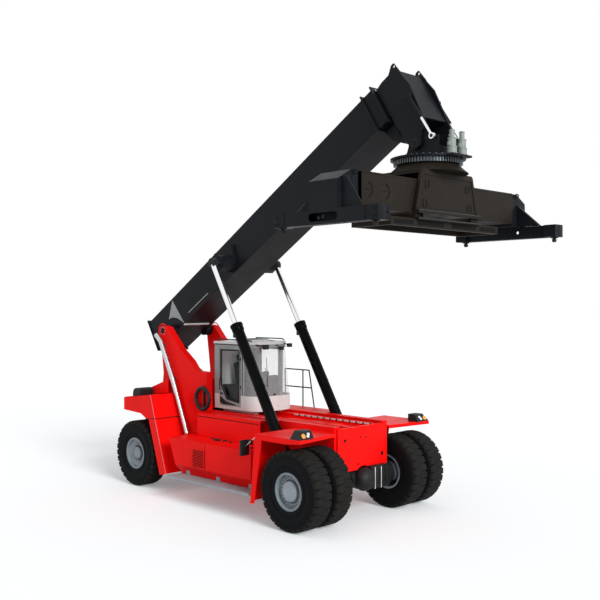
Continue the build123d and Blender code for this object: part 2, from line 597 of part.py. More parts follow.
def slew_motors():
    """Two gear motors that turn the spreader, each stepped in three diameters."""
    motors = []
    for y in (-165, 165):
        steps_up = [(YOKE_BASE, YOKE_BASE + 130, 95), (YOKE_BASE + 130, YOKE_BASE + 300, 80),
                    (YOKE_BASE + 300, YOKE_BASE + 450, 50)]
        motors.append(union(*[rod((SLEW_X + 700, y, low), (SLEW_X + 700, y, high), radius)
                              for low, high, radius in steps_up]))
    return group(*motors)


def slew_ring():
    """Toothed ring under the yoke."""
    teeth = 72
    outline = []
    for tooth in range(teeth):
        for share, radius in ((0.0, 655), (0.2, 690), (0.5, 690), (0.7, 655)):
            angle = 2 * pi * (tooth + share) / teeth
            outline.append((SLEW_X + radius * cos(angle), radius * sin(angle)))
    ring = slab(outline, (GEAR_LOW, GEAR_TOP))
    return cut(ring, rod((SLEW_X, 0, GEAR_LOW - 5), (SLEW_X, 0, GEAR_TOP + 5), 400))


def carriage():
    """Side-shift carriage: two tapered plates round the main beam, under the slewing ring."""
    plate_outline = [(-820, 7130), (820, 7130), (1020, 6360), (1020, 6150), (-1020, 6150), (-1020, 6360)]
    face = Plane.YZ * make_face(Polyline(*plate_outline, close=True))
    window = Plane.YZ * make_face(Polyline((-780, 6195), (780, 6195), (780, 6272), (-780, 6272), close=True))
    pieces = []
    for x in (SLEW_X - 480, SLEW_X + 425):
        pieces.append(cut(Pos(x, 0, 0) * extrude(face, 55), Pos(x - 5, 0, 0) * extrude(window, 65)))
    pieces.append(box((SLEW_X - 480, SLEW_X + 480), (-815, 815), (7060, 7130)))
    for sign in (-1, 1):
        pieces.append(box((SLEW_X - 480, SLEW_X + 480), (sign * 930, sign * 1015), (6160, 6268)))
    pieces.append(box((SLEW_X + 480, SLEW_X + 560), (-1020, 1020), (6150, 6190)))
    pieces.append(box((SLEW_X + 480, SLEW_X + 560), (-1020, 1020), (6272, 6330)))
    # lower frame, under the beam: X, Y and Z spans
    for x_span, y_span in (((-480, -400), (-1750, 1750)), ((400, 480), (-1750, 1750)),
                           ((-400, 400), (-1750, -1680)), ((-400, 400), (1680, 1750))):
        pieces.append(box([SLEW_X + x for x in x_span], y_span, (6010, 6165)))
    neck = [(250 + FIT, 7130), (800, 7130), (600, GEAR_LOW), (250 + FIT, GEAR_LOW)]
    pieces.append(Pos(SLEW_X, 0, 0) * revolve(Plane.XZ * make_face(Polyline(*neck, close=True)), Axis.Z))
    spigot_hole = rod((SLEW_X, 0, 7040), (SLEW_X, 0, 7140), 250 + FIT)
    return cut(union(*pieces), spigot_hole)


# ---------------------------------------------------------------- spreader
def main_beam():
    """Double box beam that both telescoping arms run in."""
    beam = box((SLEW_X - BEAM_HALF_X, SLEW_X + BEAM_HALF_X), (-BEAM_HALF_Y, BEAM_HALF_Y), (BEAM_LOW, BEAM_HIGH))
    channels = [box((SLEW_X + low, SLEW_X + high), (-BEAM_HALF_Y - 5, BEAM_HALF_Y + 5), (BEAM_LOW + 14, BEAM_HIGH - 14))
                for low, high in ((-386, -8), (8, 386))]
    return cut(beam, *channels)


# end frame's gussets: X of the foot, X and Z of the top, Y span
GUSSETS = [(860, (470, 6790), (-2930, -2900)), (-915, (-360, 6700), (-2760, -2690))]


def end_frame():
    """Right-hand end frame: hollow column, end beam with its slot, gussets and corner blocks."""
    column_side = [(-2500, 6240), (-2500, BEAM_HIGH), (-2690, BEAM_HIGH), (-3020, 6745), (-3020, 6200), (-2820, 6200)]
    face = Plane.YZ * make_face(Polyline(*column_side, close=True))
    core = Plane.YZ * offset(make_face(Polyline(*column_side, close=True)), -20, kind=Kind.INTERSECTION)
    column = cut(Pos(SLEW_X - 360, 0, 0) * extrude(face, 720), Pos(SLEW_X - 340, 0, 0) * extrude(core, 680))
    end_beam = cut(box((SLEW_X - 1270, SLEW_X + 1270), (-3030, -2820), (END_BEAM_LOW, END_BEAM_HIGH)),
                   box((SLEW_X - 1000, SLEW_X + 1000), (-3014, -2836), (END_BEAM_LOW + 16, END_BEAM_HIGH - 16)))
    pieces = [column, end_beam]
    for foot, (top, height), y_span in GUSSETS:
        root = 350 if foot > 0 else -350
        pieces.append(prism([(SLEW_X + root, height), (SLEW_X + top, height), (SLEW_X + foot, 6225),
                             (SLEW_X + root, 6225)], y_span))
    holes = [box((SLEW_X - 285, SLEW_X + 275), (-3040, -3010), (6025, 6175))]
    for x in (-285, 275):
        holes.append(cross_rod(SLEW_X + x, 6100, (-3040, -3010), 75))
    for sign in (-1, 1):
        end = SLEW_X + sign * 1270
        pieces.append(box((SLEW_X + sign * 1000, end), (-3030, -2720), (END_BEAM_LOW, END_BEAM_HIGH)))
        holes.append(rod((SLEW_X + sign * LOCK_X, -LOCK_Y, END_BEAM_LOW - 5), (SLEW_X + sign * LOCK_X, -LOCK_Y, 6180), 42))
        holes.append(cross_rod(SLEW_X + sign * 300, 6108, (-2840, -2815), 32))
        holes.append(box((end - sign * 45, end + sign * 5), (-2985, -2905), (6125, 6185)))
        holes.append(rod((end - sign * 45, -2950, 6035), (end + sign * 5, -2950, 6035), 24))
        holes.append(rod((end - sign * 45, -2790, 6100), (end + sign * 5, -2790, 6100), 20))
    return cut(union(*pieces), *holes)


def arms():
    """Right-hand arm in the rear channel and, turned half round, left-hand arm in the front one."""
    near, far = SLEW_X - 376, SLEW_X - 18
    beam = cut(box((near, far), (-2520, 2300), (BEAM_LOW + 24, BEAM_HIGH - 24)),
               box((near + 14, far - 14), (-2510, 2310), (BEAM_LOW + 38, BEAM_HIGH - 38)))
    right = union(beam, end_frame())
    left = Pos(SLEW_X, 0, 0) * Rot(0, 0, 180) * Pos(-SLEW_X, 0, 0) * right
    return right, left


def twistlock(x_sign, y_sign):
    """One lock: shaft, neck and cross head, square to the container's corner."""
    x, y = SLEW_X + x_sign * LOCK_X, y_sign * LOCK_Y
    shaft = rod((x, y, LOCK_TIP + 40), (x, y, 6150), 36)
    head = [(y - 52, LOCK_TIP + 62), (y + 52, LOCK_TIP + 62), (y + 44, LOCK_TIP + 26), (y + 20, LOCK_TIP),
            (y - 20, LOCK_TIP), (y - 44, LOCK_TIP + 26)]
    face = Plane.YZ * make_face(Polyline(*head, close=True))
    return union(shaft, Pos(x - 28, 0, 0) * extrude(face, 56))


# ---------------------------------------------------------------- cab
def cab_front(z):
    """X of the cab's front at a height: upright below the sill, leaning back above it."""
    return CAB_FRONT - max(0, z - CAB_SILL) * CAB_LEAN / (CAB_TOP - CAB_SILL)


def cab_plan(z, grow=0):
    """The cab's plan at a height as a face, with round front corners, grown or drawn in all round."""
    length = cab_front(z) - CAB_REAR + 2 * grow
    plan = Rectangle(length, 2 * (CAB_HALF + grow))
    corners = plan.vertices().group_by(Axis.X)[-1]
    return Pos((cab_front(z) + CAB_REAR) / 2, 0, z) * fillet(corners, CAB_NOSE + grow)


def cab_block(z_span, grow=0):
    """The cab's plan filled between two heights."""
    low, high = z_span
    if high <= CAB_SILL + 5:
        return extrude(cab_plan(low, grow), high - low)
    return loft([cab_plan(low, grow), cab_plan(high, grow)], ruled=True)


def cab_hoop(z_span, wall=40):
    """A hoop that follows the cab's plan, one wall thick."""
    return cut(cab_block(z_span), cab_block(z_span, -wall))


DOORWAY = [box((DOOR_REAR - 5, DOOR_FRONT + 5), (sign * (CAB_HALF - 60), sign * (CAB_HALF + 60)),
               (CAB_FLOOR + 75, CAB_HEAD + 5)) for sign in (-1, 1)]


HINGES = ((2560, 2680), (3200, 3320))     # heights of the door hinges


def hinge_rods(radius):
    """Round knuckles of both doors' hinges, low and high, on both sides."""
    return [rod((DOOR_FRONT, sign * CAB_HALF, low), (DOOR_FRONT, sign * CAB_HALF, high), radius)
            for sign in (-1, 1) for low, high in HINGES]


def cab_base():
    """Lower body of the cab: floor, skirt up to the sills, and runners for the deck's rails."""
    tub = cut(cab_block((CAB_FLOOR, CAB_SILL)), cab_block((CAB_FLOOR + 50, CAB_SILL + 5), -45))
    runners = [box((CAB_REAR + 100, CAB_FRONT - 300), (sign * 340, sign * 460), (1966, CAB_FLOOR)) for sign in (-1, 1)]
    return cut(union(tub, *runners), *DOORWAY)


def cab_shell():
    """Upper frame of the cab: rear wall, pillars and the hoop under the roof."""
    wall = cab_hoop((CAB_SILL, CAB_TOP - 60))
    openings = [box((CAB_REAR - 60, CAB_REAR + 60), (-CAB_HALF + 90, CAB_HALF - 90), (CAB_SILL + 120, CAB_HEAD - 40)),
                box((DOOR_FRONT + 85, CAB_FRONT + 60), (-CAB_HALF - 60, CAB_HALF + 60), (CAB_SILL + 2, CAB_HEAD))]
    return cut(wall, *DOORWAY, *openings, *hinge_rods(20))


def cab_roof():
    """Roof panel with a raised vent."""
    panel = cab_block((CAB_TOP - 60, CAB_TOP), 15)
    vent = box((CAB_REAR + 350, CAB_REAR + 950), (-300, 300), (CAB_TOP, CAB_TOP + 45))
    return union(panel, vent)


def cab_glass():
    """Curved windscreen with its side panes, and the rear pane."""
    screen = cut(cab_block((CAB_SILL + 4, CAB_HEAD - 2), -12), cab_block((CAB_SILL + 4, CAB_HEAD - 2), -22),
                 box((CAB_REAR - 100, DOOR_FRONT + 88), (-900, 900), (2000, 4000)))
    rear = box((CAB_REAR + 14, CAB_REAR + 24), (-CAB_HALF + 92, CAB_HALF - 92), (CAB_SILL + 122, CAB_HEAD - 42))
    return group(screen, rear)


DOOR_WINDOW = [(DOOR_REAR + 50, 2640), (DOOR_REAR + 270, 2290), (DOOR_FRONT - 60, 2230), (DOOR_FRONT - 50, 3460),
               (DOOR_REAR + 50, 3460)]


def door():
    """Right-hand door leaf with its window cut."""
    leaf = box((DOOR_REAR, DOOR_FRONT), (-CAB_HALF, -CAB_HALF + 40), (CAB_FLOOR + 80, CAB_HEAD))
    return cut(union(leaf, *hinge_rods(14)[:2]), prism(DOOR_WINDOW, (-CAB_HALF - 10, -CAB_HALF + 60)))


def door_glass():
    """Right-hand door pane."""
    return prism(DOOR_WINDOW, (-CAB_HALF + 14, -CAB_HALF + 24), 1)


def cab_seat():
    """Driver's seat with its head rest, arm rests and pedestal."""
    pieces = [box((-3690, -3200), (-250, 250), (2480, 2600)),
              prism([(-3690, 2560), (-3570, 2560), (-3700, 3150), (-3820, 3150)], (-240, 240)),
              prism([(-3800, 3150), (-3720, 3150), (-3750, 3350), (-3830, 3350)], (-130, 130)),
              box((-3620, -3290), (-180, 180), (CAB_FLOOR + 50, 2480))]
    for sign in (-1, 1):
        pieces.append(box((-3670, -3260), (sign * 250, sign * 320), (2600, 2680)))
    return union(*pieces)


def cab_console():
    """Steering column, wheel and front console."""
    console = box((-2880, -2640), (-230, 230), (CAB_FLOOR + 50, 2560))
    column = rod((-2820, 0, 2540), (-3020, 0, 2820), 35)
    wheel_way = Vector(-200, 0, 280).normalized()
    centre = Vector(-3020, 0, 2820)
    wheel = rod(tuple(centre), tuple(centre + wheel_way * 28), 190)
    return union(console, column, wheel)


def cab_lamp():
    """Work lamp on an arm at the cab's front."""
    front = cab_front(CAB_HEAD)
    arm_bar = rod((front - 150, -CAB_HALF + 150, CAB_HEAD + 80), (front + 130, -CAB_HALF + 260, CAB_HEAD + 50), 16)
    head = box((front + 90, front + 170), (-CAB_HALF + 200, -CAB_HALF + 340), (CAB_HEAD - 20, CAB_HEAD + 90))
    return cut(union(arm_bar, head), cab_block((CAB_HEAD - 60, CAB_TOP + 20), 20))


# ---------------------------------------------------------------- writing
def write(name, shape):
    """Move a node into the shared frame and write it as parts/NAME.step."""
    placed = Pos(FRAME_SHIFT, 0, 0) * group(shape)
    export_step(placed, os.path.join("parts", name + ".step"))


def build_nodes():
    """Every node's name and shape, in order from the ground up."""
    arm_right, arm_left = arms()
    nodes = {
        "chassis_frame": chassis_frame(), "front_plate": front_plate(), "deck": deck(),
        "side_boxes": side_boxes(), "steps": steps(), "front_fenders": front_fenders(),
        "rear_fenders": rear_fenders(), "engine_hood": engine_hood(), "engine_block": engine_block(),
        "counterweight": counterweight(), "drive_axle": drive_axle(), "steer_axle": steer_axle(),
        "exhaust_pipe": exhaust_pipe(), "lamps": lamps(),
        "mirrors": mirrors(), "handrail": handrail(), "hose_loop": hose_loop(),
        "outer_boom": outer_boom(), "inner_boom": inner_boom(),
        "damper_barrels": damper_barrels(), "damper_rods": damper_rods(), "yoke": yoke(),
        "slew_motors": slew_motors(), "slew_ring": slew_ring(), "carriage": carriage(),
        "main_beam": main_beam(), "arm_right": arm_right, "arm_left": arm_left,
        "cab_base": cab_base(), "cab_shell": cab_shell(), "cab_roof": cab_roof(), "cab_glass": cab_glass(),
        "cab_seat": cab_seat(), "cab_console": cab_console(), "cab_lamp": cab_lamp(),
    }
    for side, sign in SIDES:
        nodes["front_rims_" + side] = sided(front_rims(), sign)
        nodes["front_tyres_" + side] = group(tyre(0, sign * DUAL_OUTER_Y), tyre(0, sign * DUAL_INNER_Y))
        nodes["rear_rim_" + side] = sided(rear_rim(), sign)
        nodes["rear_tyre_" + side] = tyre(REAR_AXLE_X, sign * REAR_TYRE_Y)
        nodes["knuckle_" + side] = sided(knuckle(), sign)
        nodes["lift_barrel_" + side] = sided(lift_barrel(), sign)
        nodes["lift_rod_" + side] = sided(lift_rod(), sign)
        nodes["door_" + side] = sided(door(), sign)
        nodes["door_glass_" + side] = sided(door_glass(), sign)
        for end, x_sign in (("front", 1), ("rear", -1)):
            nodes["twistlock_%s_%s" % (end, side)] = twistlock(x_sign, sign)
    return nodes


os.makedirs("parts", exist_ok=True)
for node_name, node_shape in build_nodes().items():
    write(node_name, node_shape)
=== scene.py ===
"""Reach stacker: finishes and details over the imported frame.

Lengths are metres. Every class places its pieces in the machine's own coordinates,
X forward, Y to the driver's left and Z up from the ground under the front axle, or
in the boom's coordinates, and Shape.piece moves them to the row frame.
"""
import json
import logging
import math
from dataclasses import dataclass
from enum import Enum
from typing import Any, Iterable, Optional, Sequence

import bmesh
import bpy
from mathutils import Matrix, Vector


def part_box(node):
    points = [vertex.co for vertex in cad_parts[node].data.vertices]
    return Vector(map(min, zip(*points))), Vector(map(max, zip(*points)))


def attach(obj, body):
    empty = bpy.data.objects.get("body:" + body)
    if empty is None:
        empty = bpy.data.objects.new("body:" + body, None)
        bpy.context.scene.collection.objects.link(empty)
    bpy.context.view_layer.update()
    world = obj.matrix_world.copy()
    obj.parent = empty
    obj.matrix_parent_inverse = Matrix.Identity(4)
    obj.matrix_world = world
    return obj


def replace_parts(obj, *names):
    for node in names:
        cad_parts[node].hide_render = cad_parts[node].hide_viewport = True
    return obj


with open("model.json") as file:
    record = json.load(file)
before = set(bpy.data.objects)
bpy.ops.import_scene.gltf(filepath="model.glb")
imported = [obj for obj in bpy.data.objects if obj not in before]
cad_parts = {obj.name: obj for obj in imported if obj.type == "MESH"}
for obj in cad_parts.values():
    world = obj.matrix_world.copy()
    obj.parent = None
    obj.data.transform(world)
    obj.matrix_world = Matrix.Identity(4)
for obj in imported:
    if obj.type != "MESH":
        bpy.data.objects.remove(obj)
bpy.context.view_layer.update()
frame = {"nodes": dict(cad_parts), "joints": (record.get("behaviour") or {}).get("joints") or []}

LOG = logging.getLogger("reach_stacker")
Point = Sequence[float]
Span = tuple[float, float]

X_AXIS, Y_AXIS, Z_AXIS = (1, 0, 0), (0, 1, 0), (0, 0, 1)
# each side's name and the sign of its Y
SIDES: tuple[tuple[str, int], ...] = (("right", -1), ("left", 1))
# a bolt's proportions, as shares of its head's radius
WASHER_RADIUS, WASHER_HEIGHT, HEAD_HEIGHT = 1.45, 0.25, 0.95


def joint(name: str) -> dict[str, Any]:
    """The record's joint of that name."""
    return next(j for j in frame["joints"] if j["name"] == name)


def middle(node: str) -> Vector:
    """The middle of a CAD node's box."""
    low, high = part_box(node)
    return (Vector(low) + Vector(high)) / 2


AXLE_X = middle("front_rims_right").x
AXLE_Z = middle("front_rims_right").z
TO_ROW = Matrix.Translation((AXLE_X, 0, 0))


def pivot_of(name: str) -> Vector:
    """A joint's place in the machine's coordinates."""
    return Vector(joint(name)["pos_m"]) - TO_ROW.translation


def around(value: float, half: float) -> Span:
    """The span that reaches half as far to each side of a value."""
    return value - half, value + half


def spaced(first: float, pitch: float, count: int) -> list[float]:
    """Evenly spaced values, from the first one on."""
    return [first + i * pitch for i in range(count)]


def boom_matrix() -> Matrix:
    """The boom's own axes: s along it, y across it and n square to it, from its pivot."""
    pivot = Vector(joint("boom_lift")["pos_m"])
    along = -Vector(joint("boom_retract")["axis"])
    square = along.cross(Vector(Y_AXIS))
    turn = Matrix((along, Vector(Y_AXIS), square)).transposed()
    return Matrix.Translation(pivot) @ turn.to_4x4()


ON_BOOM = boom_matrix()


# ---------------------------------------------------------------- finishes
def linear(code: str) -> tuple[float, float, float, float]:
    """Turn an sRGB hex colour into linear values.

    Args:
        code: six hex digits after a hash.

    Returns:
        Red, green, blue and an alpha of one.
    """
    parts = [int(code[i:i + 2], 16) / 255 for i in (1, 3, 5)]
    red, green, blue = (v / 12.92 if v <= 0.04045 else ((v + 0.055) / 1.055) ** 2.4 for v in parts)
    return red, green, blue, 1.0


def empty_tree(owner: bpy.types.ID) -> bpy.types.NodeTree:
    """The cleared node tree of a material or world."""
    owner.use_nodes = True
    owner.node_tree.nodes.clear()
    return owner.node_tree


def add_node(tree: bpy.types.NodeTree, kind: str, inputs: Optional[dict[Any, Any]] = None,
             **settings: Any) -> bpy.types.Node:
    """Add a shader node with its inputs and settings.

    Args:
        tree: the material's or world's node tree.
        kind: the node's class name.
        inputs: socket name or number, to a value or to a socket to link.
        settings: attribute values.

    Returns:
        The new node.
    """
    node = tree.nodes.new(kind)
    for name, value in settings.items():
        setattr(node, name, value)
    for name, value in (inputs or {}).items():
        if isinstance(value, bpy.types.NodeSocket):
            tree.links.new(value, node.inputs[name])
        else:
            node.inputs[name].default_value = value
    return node


class Grain(Enum):
    """How a surface's fine texture is drawn."""

    SMOOTH = "smooth"
    ORANGE_PEEL = "orange peel"
    CAST = "cast"
    BRUSHED = "brushed"
    WOVEN = "woven"
    RUBBER = "rubber"


@dataclass(frozen=True)
class Finish:
    """A real material as it leaves its maker, with the marks of some use.

    Attributes:
        name: the material's common name and how its surface was made.
        colour: sRGB hex of the clean surface.
        worn: sRGB hex of its dusty or rubbed patches.
        roughness: the clean surface's roughness.
        metallic: one for bare metal.
        coat: weight of a clear coat.
        grain: the fine texture.
        grain_mm: the texture's real pitch, drawn coarser where it would not show.
        depth_mm: the texture's height.
        patch_m: size of the dusty patches.
        patches: how much of the surface they take, from 0 to 1.
        clear: transmission, for lenses.
        specular: strength of the surface's own reflection, 0.5 for most things.
        open: share of light that passes straight through a thin pane.
    """

    name: str
    colour: str
    worn: str
    roughness: float
    metallic: float = 0.0
    coat: float = 0.0
    grain: Grain = Grain.SMOOTH
    grain_mm: float = 8.0
    depth_mm: float = 0.1
    patch_m: float = 0.6
    patches: float = 0.35
    clear: float = 0.0
    specular: float = 0.5
    open: float = 0.0

    def build(self) -> bpy.types.Material:
        """Make the node material, or return the one already made."""
        known = bpy.data.materials.get(self.name)
        if known:
            return known
        material = bpy.data.materials.new(self.name)
        tree = empty_tree(material)
        where = add_node(tree, "ShaderNodeTexCoord").outputs["Object"]
        patch = add_node(tree, "ShaderNodeTexNoise", {
            "Vector": where, "Scale": 1.0 / self.patch_m, "Detail": 6.0, "Roughness": 0.62})
        tone = add_node(tree, "ShaderNodeValToRGB", {"Fac": patch.outputs["Fac"]})
        low, high = tone.color_ramp.elements
        low.position, low.color = 0.62 - 0.25 * self.patches, linear(self.colour)
        high.position, high.color = 0.86, linear(self.worn)
        rough = add_node(tree, "ShaderNodeMapRange", {
            "Value": patch.outputs["Fac"], "From Min": 0.4, "From Max": 0.8,
            "To Min": self.roughness, "To Max": min(1.0, self.roughness + 0.16)})
        shader = add_node(tree, "ShaderNodeBsdfPrincipled", {
            "Base Color": tone.outputs["Color"], "Roughness": rough.outputs["Result"],
            "Metallic": self.metallic, "Coat Weight": self.coat, "Coat Roughness": 0.08,
            "Transmission Weight": self.clear, "Specular IOR Level": self.specular, "Alpha": 1.0 - self.open})
        bump = self.texture(tree, where)
        if bump is not None:
            tree.links.new(bump, shader.inputs["Normal"])
        add_node(tree, "ShaderNodeOutputMaterial", {"Surface": shader.outputs["BSDF"]})
        material.diffuse_color = linear(self.colour)
        return material

    def texture(self, tree: bpy.types.NodeTree,
                where: bpy.types.NodeSocket) -> Optional[bpy.types.NodeSocket]:
        """Make the fine texture's bump.

        Args:
            tree: the material's node tree.
            where: object coordinates.

        Returns:
            The bumped normal, or None for a smooth surface.
        """
        if self.grain is Grain.SMOOTH:
            return None
        per_metre = 1000.0 / self.grain_mm
        if self.grain is Grain.BRUSHED:
            stretched = add_node(tree, "ShaderNodeMapping", {
                "Vector": where, "Scale": (per_metre * 0.04, per_metre, per_metre)})
            height = add_node(tree, "ShaderNodeTexNoise", {
                "Vector": stretched.outputs["Vector"], "Scale": 1.0, "Detail": 2.0}).outputs["Fac"]
        elif self.grain is Grain.WOVEN:
            height = add_node(tree, "ShaderNodeTexChecker",
                              {"Vector": where, "Scale": per_metre}).outputs["Fac"]
        elif self.grain is Grain.CAST:
            height = add_node(tree, "ShaderNodeTexVoronoi", {
                "Vector": where, "Scale": per_metre}, feature="SMOOTH_F1").outputs["Distance"]
        else:
            height = add_node(tree, "ShaderNodeTexNoise", {
                "Vector": where, "Scale": per_metre, "Detail": 3.0}).outputs["Fac"]
        return add_node(tree, "ShaderNodeBump", {
            "Height": height, "Distance": self.depth_mm / 1000.0, "Strength": 1.0}).outputs["Normal"]


# two-pack enamel sprayed on plate: slight orange peel, a film of dust
RED_ENAMEL = Finish("red_two_pack_enamel", "#F40D0A", "#E41712", 0.38, grain=Grain.ORANGE_PEEL, grain_mm=30,
                    depth_mm=0.25, patch_m=0.9, specular=0.09)
# the same on the boom, blue-black
BLACK_ENAMEL = Finish("black_two_pack_enamel", "#15181C", "#1E2125", 0.4, grain=Grain.ORANGE_PEEL,
                      grain_mm=30, depth_mm=0.25, patch_m=1.1, specular=0.1)
# the same on the spreader, browned by weather
BROWN_ENAMEL = Finish("weathered_black_enamel", "#221D18", "#2E2822", 0.46, grain=Grain.ORANGE_PEEL,
                      grain_mm=30, depth_mm=0.3, patch_m=0.8, specular=0.1)
# gloss paint on ground steel tube
BARREL_PAINT = Finish("gloss_black_cylinder_paint", "#050607", "#0B0C0D", 0.2, grain=Grain.ORANGE_PEEL,
                      grain_mm=20, depth_mm=0.1, patch_m=0.5, specular=0.06)
# oven enamel on the cab's doors and pillars
GREY_ENAMEL = Finish("grey_stoving_enamel", "#8F9596", "#7C8284", 0.34, coat=0.1, grain=Grain.ORANGE_PEEL,
                     grain_mm=25, depth_mm=0.15, patch_m=0.5)
WHITE_ENAMEL = Finish("white_stoving_enamel", "#D2D4D3", "#BDBBB5", 0.34, coat=0.1, grain=Grain.ORANGE_PEEL,
                      grain_mm=25, depth_mm=0.15, patch_m=0.5)
# silver powder coat on pressed steel wheels, road dust in the hollows
RIM_COAT = Finish("silver_powder_coat", "#828C94", "#687077", 0.42, grain=Grain.ORANGE_PEEL, grain_mm=12,
                  depth_mm=0.3, patch_m=0.18, patches=0.5, specular=0.4)
CAP_COAT = Finish("pale_grey_hub_coat", "#939CA4", "#7E868D", 0.4, grain=Grain.ORANGE_PEEL, grain_mm=12,
                  depth_mm=0.3, patch_m=0.18)
DARK_RIM_COAT = Finish("dark_grey_powder_coat", "#2B3035", "#202428", 0.45, grain=Grain.ORANGE_PEEL,
                       grain_mm=12, depth_mm=0.3, patch_m=0.2, specular=0.35)
MOTOR_PAINT = Finish("green_grey_machine_paint", "#8B948F", "#6E7671", 0.42, grain=Grain.CAST, grain_mm=9,
                     depth_mm=0.4, patch_m=0.15)
# hard chrome on ground steel: mirror bright
HARD_CHROME = Finish("hard_chrome_on_steel", "#F4F5F6", "#E2E4E6", 0.07, metallic=1.0, patch_m=0.4,
                     patches=0.2)
# stainless exhaust tube, polished along its length
STAINLESS = Finish("polished_stainless_tube", "#C9CCCE", "#AEB1B3", 0.22, metallic=1.0, grain=Grain.BRUSHED,
                   grain_mm=6, depth_mm=0.012, patch_m=0.4)
# hobbed gear teeth, oiled
GEAR_STEEL = Finish("oiled_gear_steel", "#5B6165", "#3A3E41", 0.3, metallic=0.7, grain=Grain.BRUSHED,
                    grain_mm=7, depth_mm=0.1, patch_m=0.3)
# hot-dip zinc on tread plate
ZINC = Finish("galvanised_steel", "#969EA3", "#80868B", 0.5, metallic=0.1, grain=Grain.CAST, grain_mm=22,
              depth_mm=0.15, patch_m=0.25, patches=0.6)
IRON = Finish("painted_cast_iron", "#141516", "#232120", 0.55, grain=Grain.CAST, grain_mm=11, depth_mm=0.6,
              patch_m=0.3, specular=0.3)
# natural rubber with carbon black, moulded
TYRE = Finish("moulded_tyre_rubber", "#0C0E10", "#151413", 0.7, grain=Grain.RUBBER, grain_mm=16, depth_mm=0.5,
              patch_m=0.35, patches=0.45, specular=0.12)
TREAD = Finish("worn_tread_rubber", "#1B1A19", "#2A2825", 0.8, grain=Grain.RUBBER, grain_mm=12, depth_mm=0.5,
               patch_m=0.3, patches=0.6, specular=0.15)
HOSE = Finish("rubber_hose_cover", "#0E0E0F", "#19191A", 0.5, grain=Grain.RUBBER, grain_mm=6, depth_mm=0.3,
              patch_m=0.2, specular=0.35)
BLACK_ABS = Finish("textured_black_abs", "#121314", "#1E1F20", 0.5, grain=Grain.RUBBER, grain_mm=5,
                   depth_mm=0.2, patch_m=0.2, specular=0.3)
FABRIC = Finish("woven_seat_cloth", "#1B1E1D", "#282B2A", 0.9, grain=Grain.WOVEN, grain_mm=9, depth_mm=0.5,
                patch_m=0.2, specular=0.2)
AMBER = Finish("amber_acrylic_lens", "#F5A53C", "#EE9228", 0.16, coat=0.4, clear=0.1)
CLEAR_LENS = Finish("clear_acrylic_lens", "#EFEFF2", "#DADCE0", 0.1, coat=0.4, clear=0.1)
RED_LENS = Finish("red_acrylic_lens", "#B4141A", "#9C1014", 0.16, coat=0.4, clear=0.1)
# green-tinted toughened glass, thin enough to see straight through
GLASS = Finish("toughened_glass", "#EEF3F5", "#E4EAEC", 0.03, coat=1.0, patches=0.1, open=0.86)
TINTED_GLASS = Finish("tinted_toughened_glass", "#3A4244", "#424A4B", 0.03, coat=0.6, patches=0.1, open=0.9)
MIRROR = Finish("silvered_mirror_glass", "#D9DCDE", "#CFD3D6", 0.04, metallic=1.0, patches=0.1)
BLIND = Finish("pale_roller_blind_cloth", "#F0F3F4", "#E2E6E8", 0.85, grain=Grain.WOVEN, grain_mm=6,
               depth_mm=0.3, patch_m=0.2, specular=0.2)
# near-black: the colour of real panel joints, and painted shade in holes, slots, openings and gaps
DARK_GAP = Finish("shadowed_steel", "#08090A", "#0E0F10", 0.7, grain=Grain.RUBBER, grain_mm=15, depth_mm=0.2,
                  specular=0.15)


# ---------------------------------------------------------------- shapes
def linked(name: str, data: bpy.types.ID) -> bpy.types.Object:
    """Make an object from its data and put it in the scene."""
    obj = bpy.data.objects.new(name, data)
    bpy.context.scene.collection.objects.link(obj)
    return obj


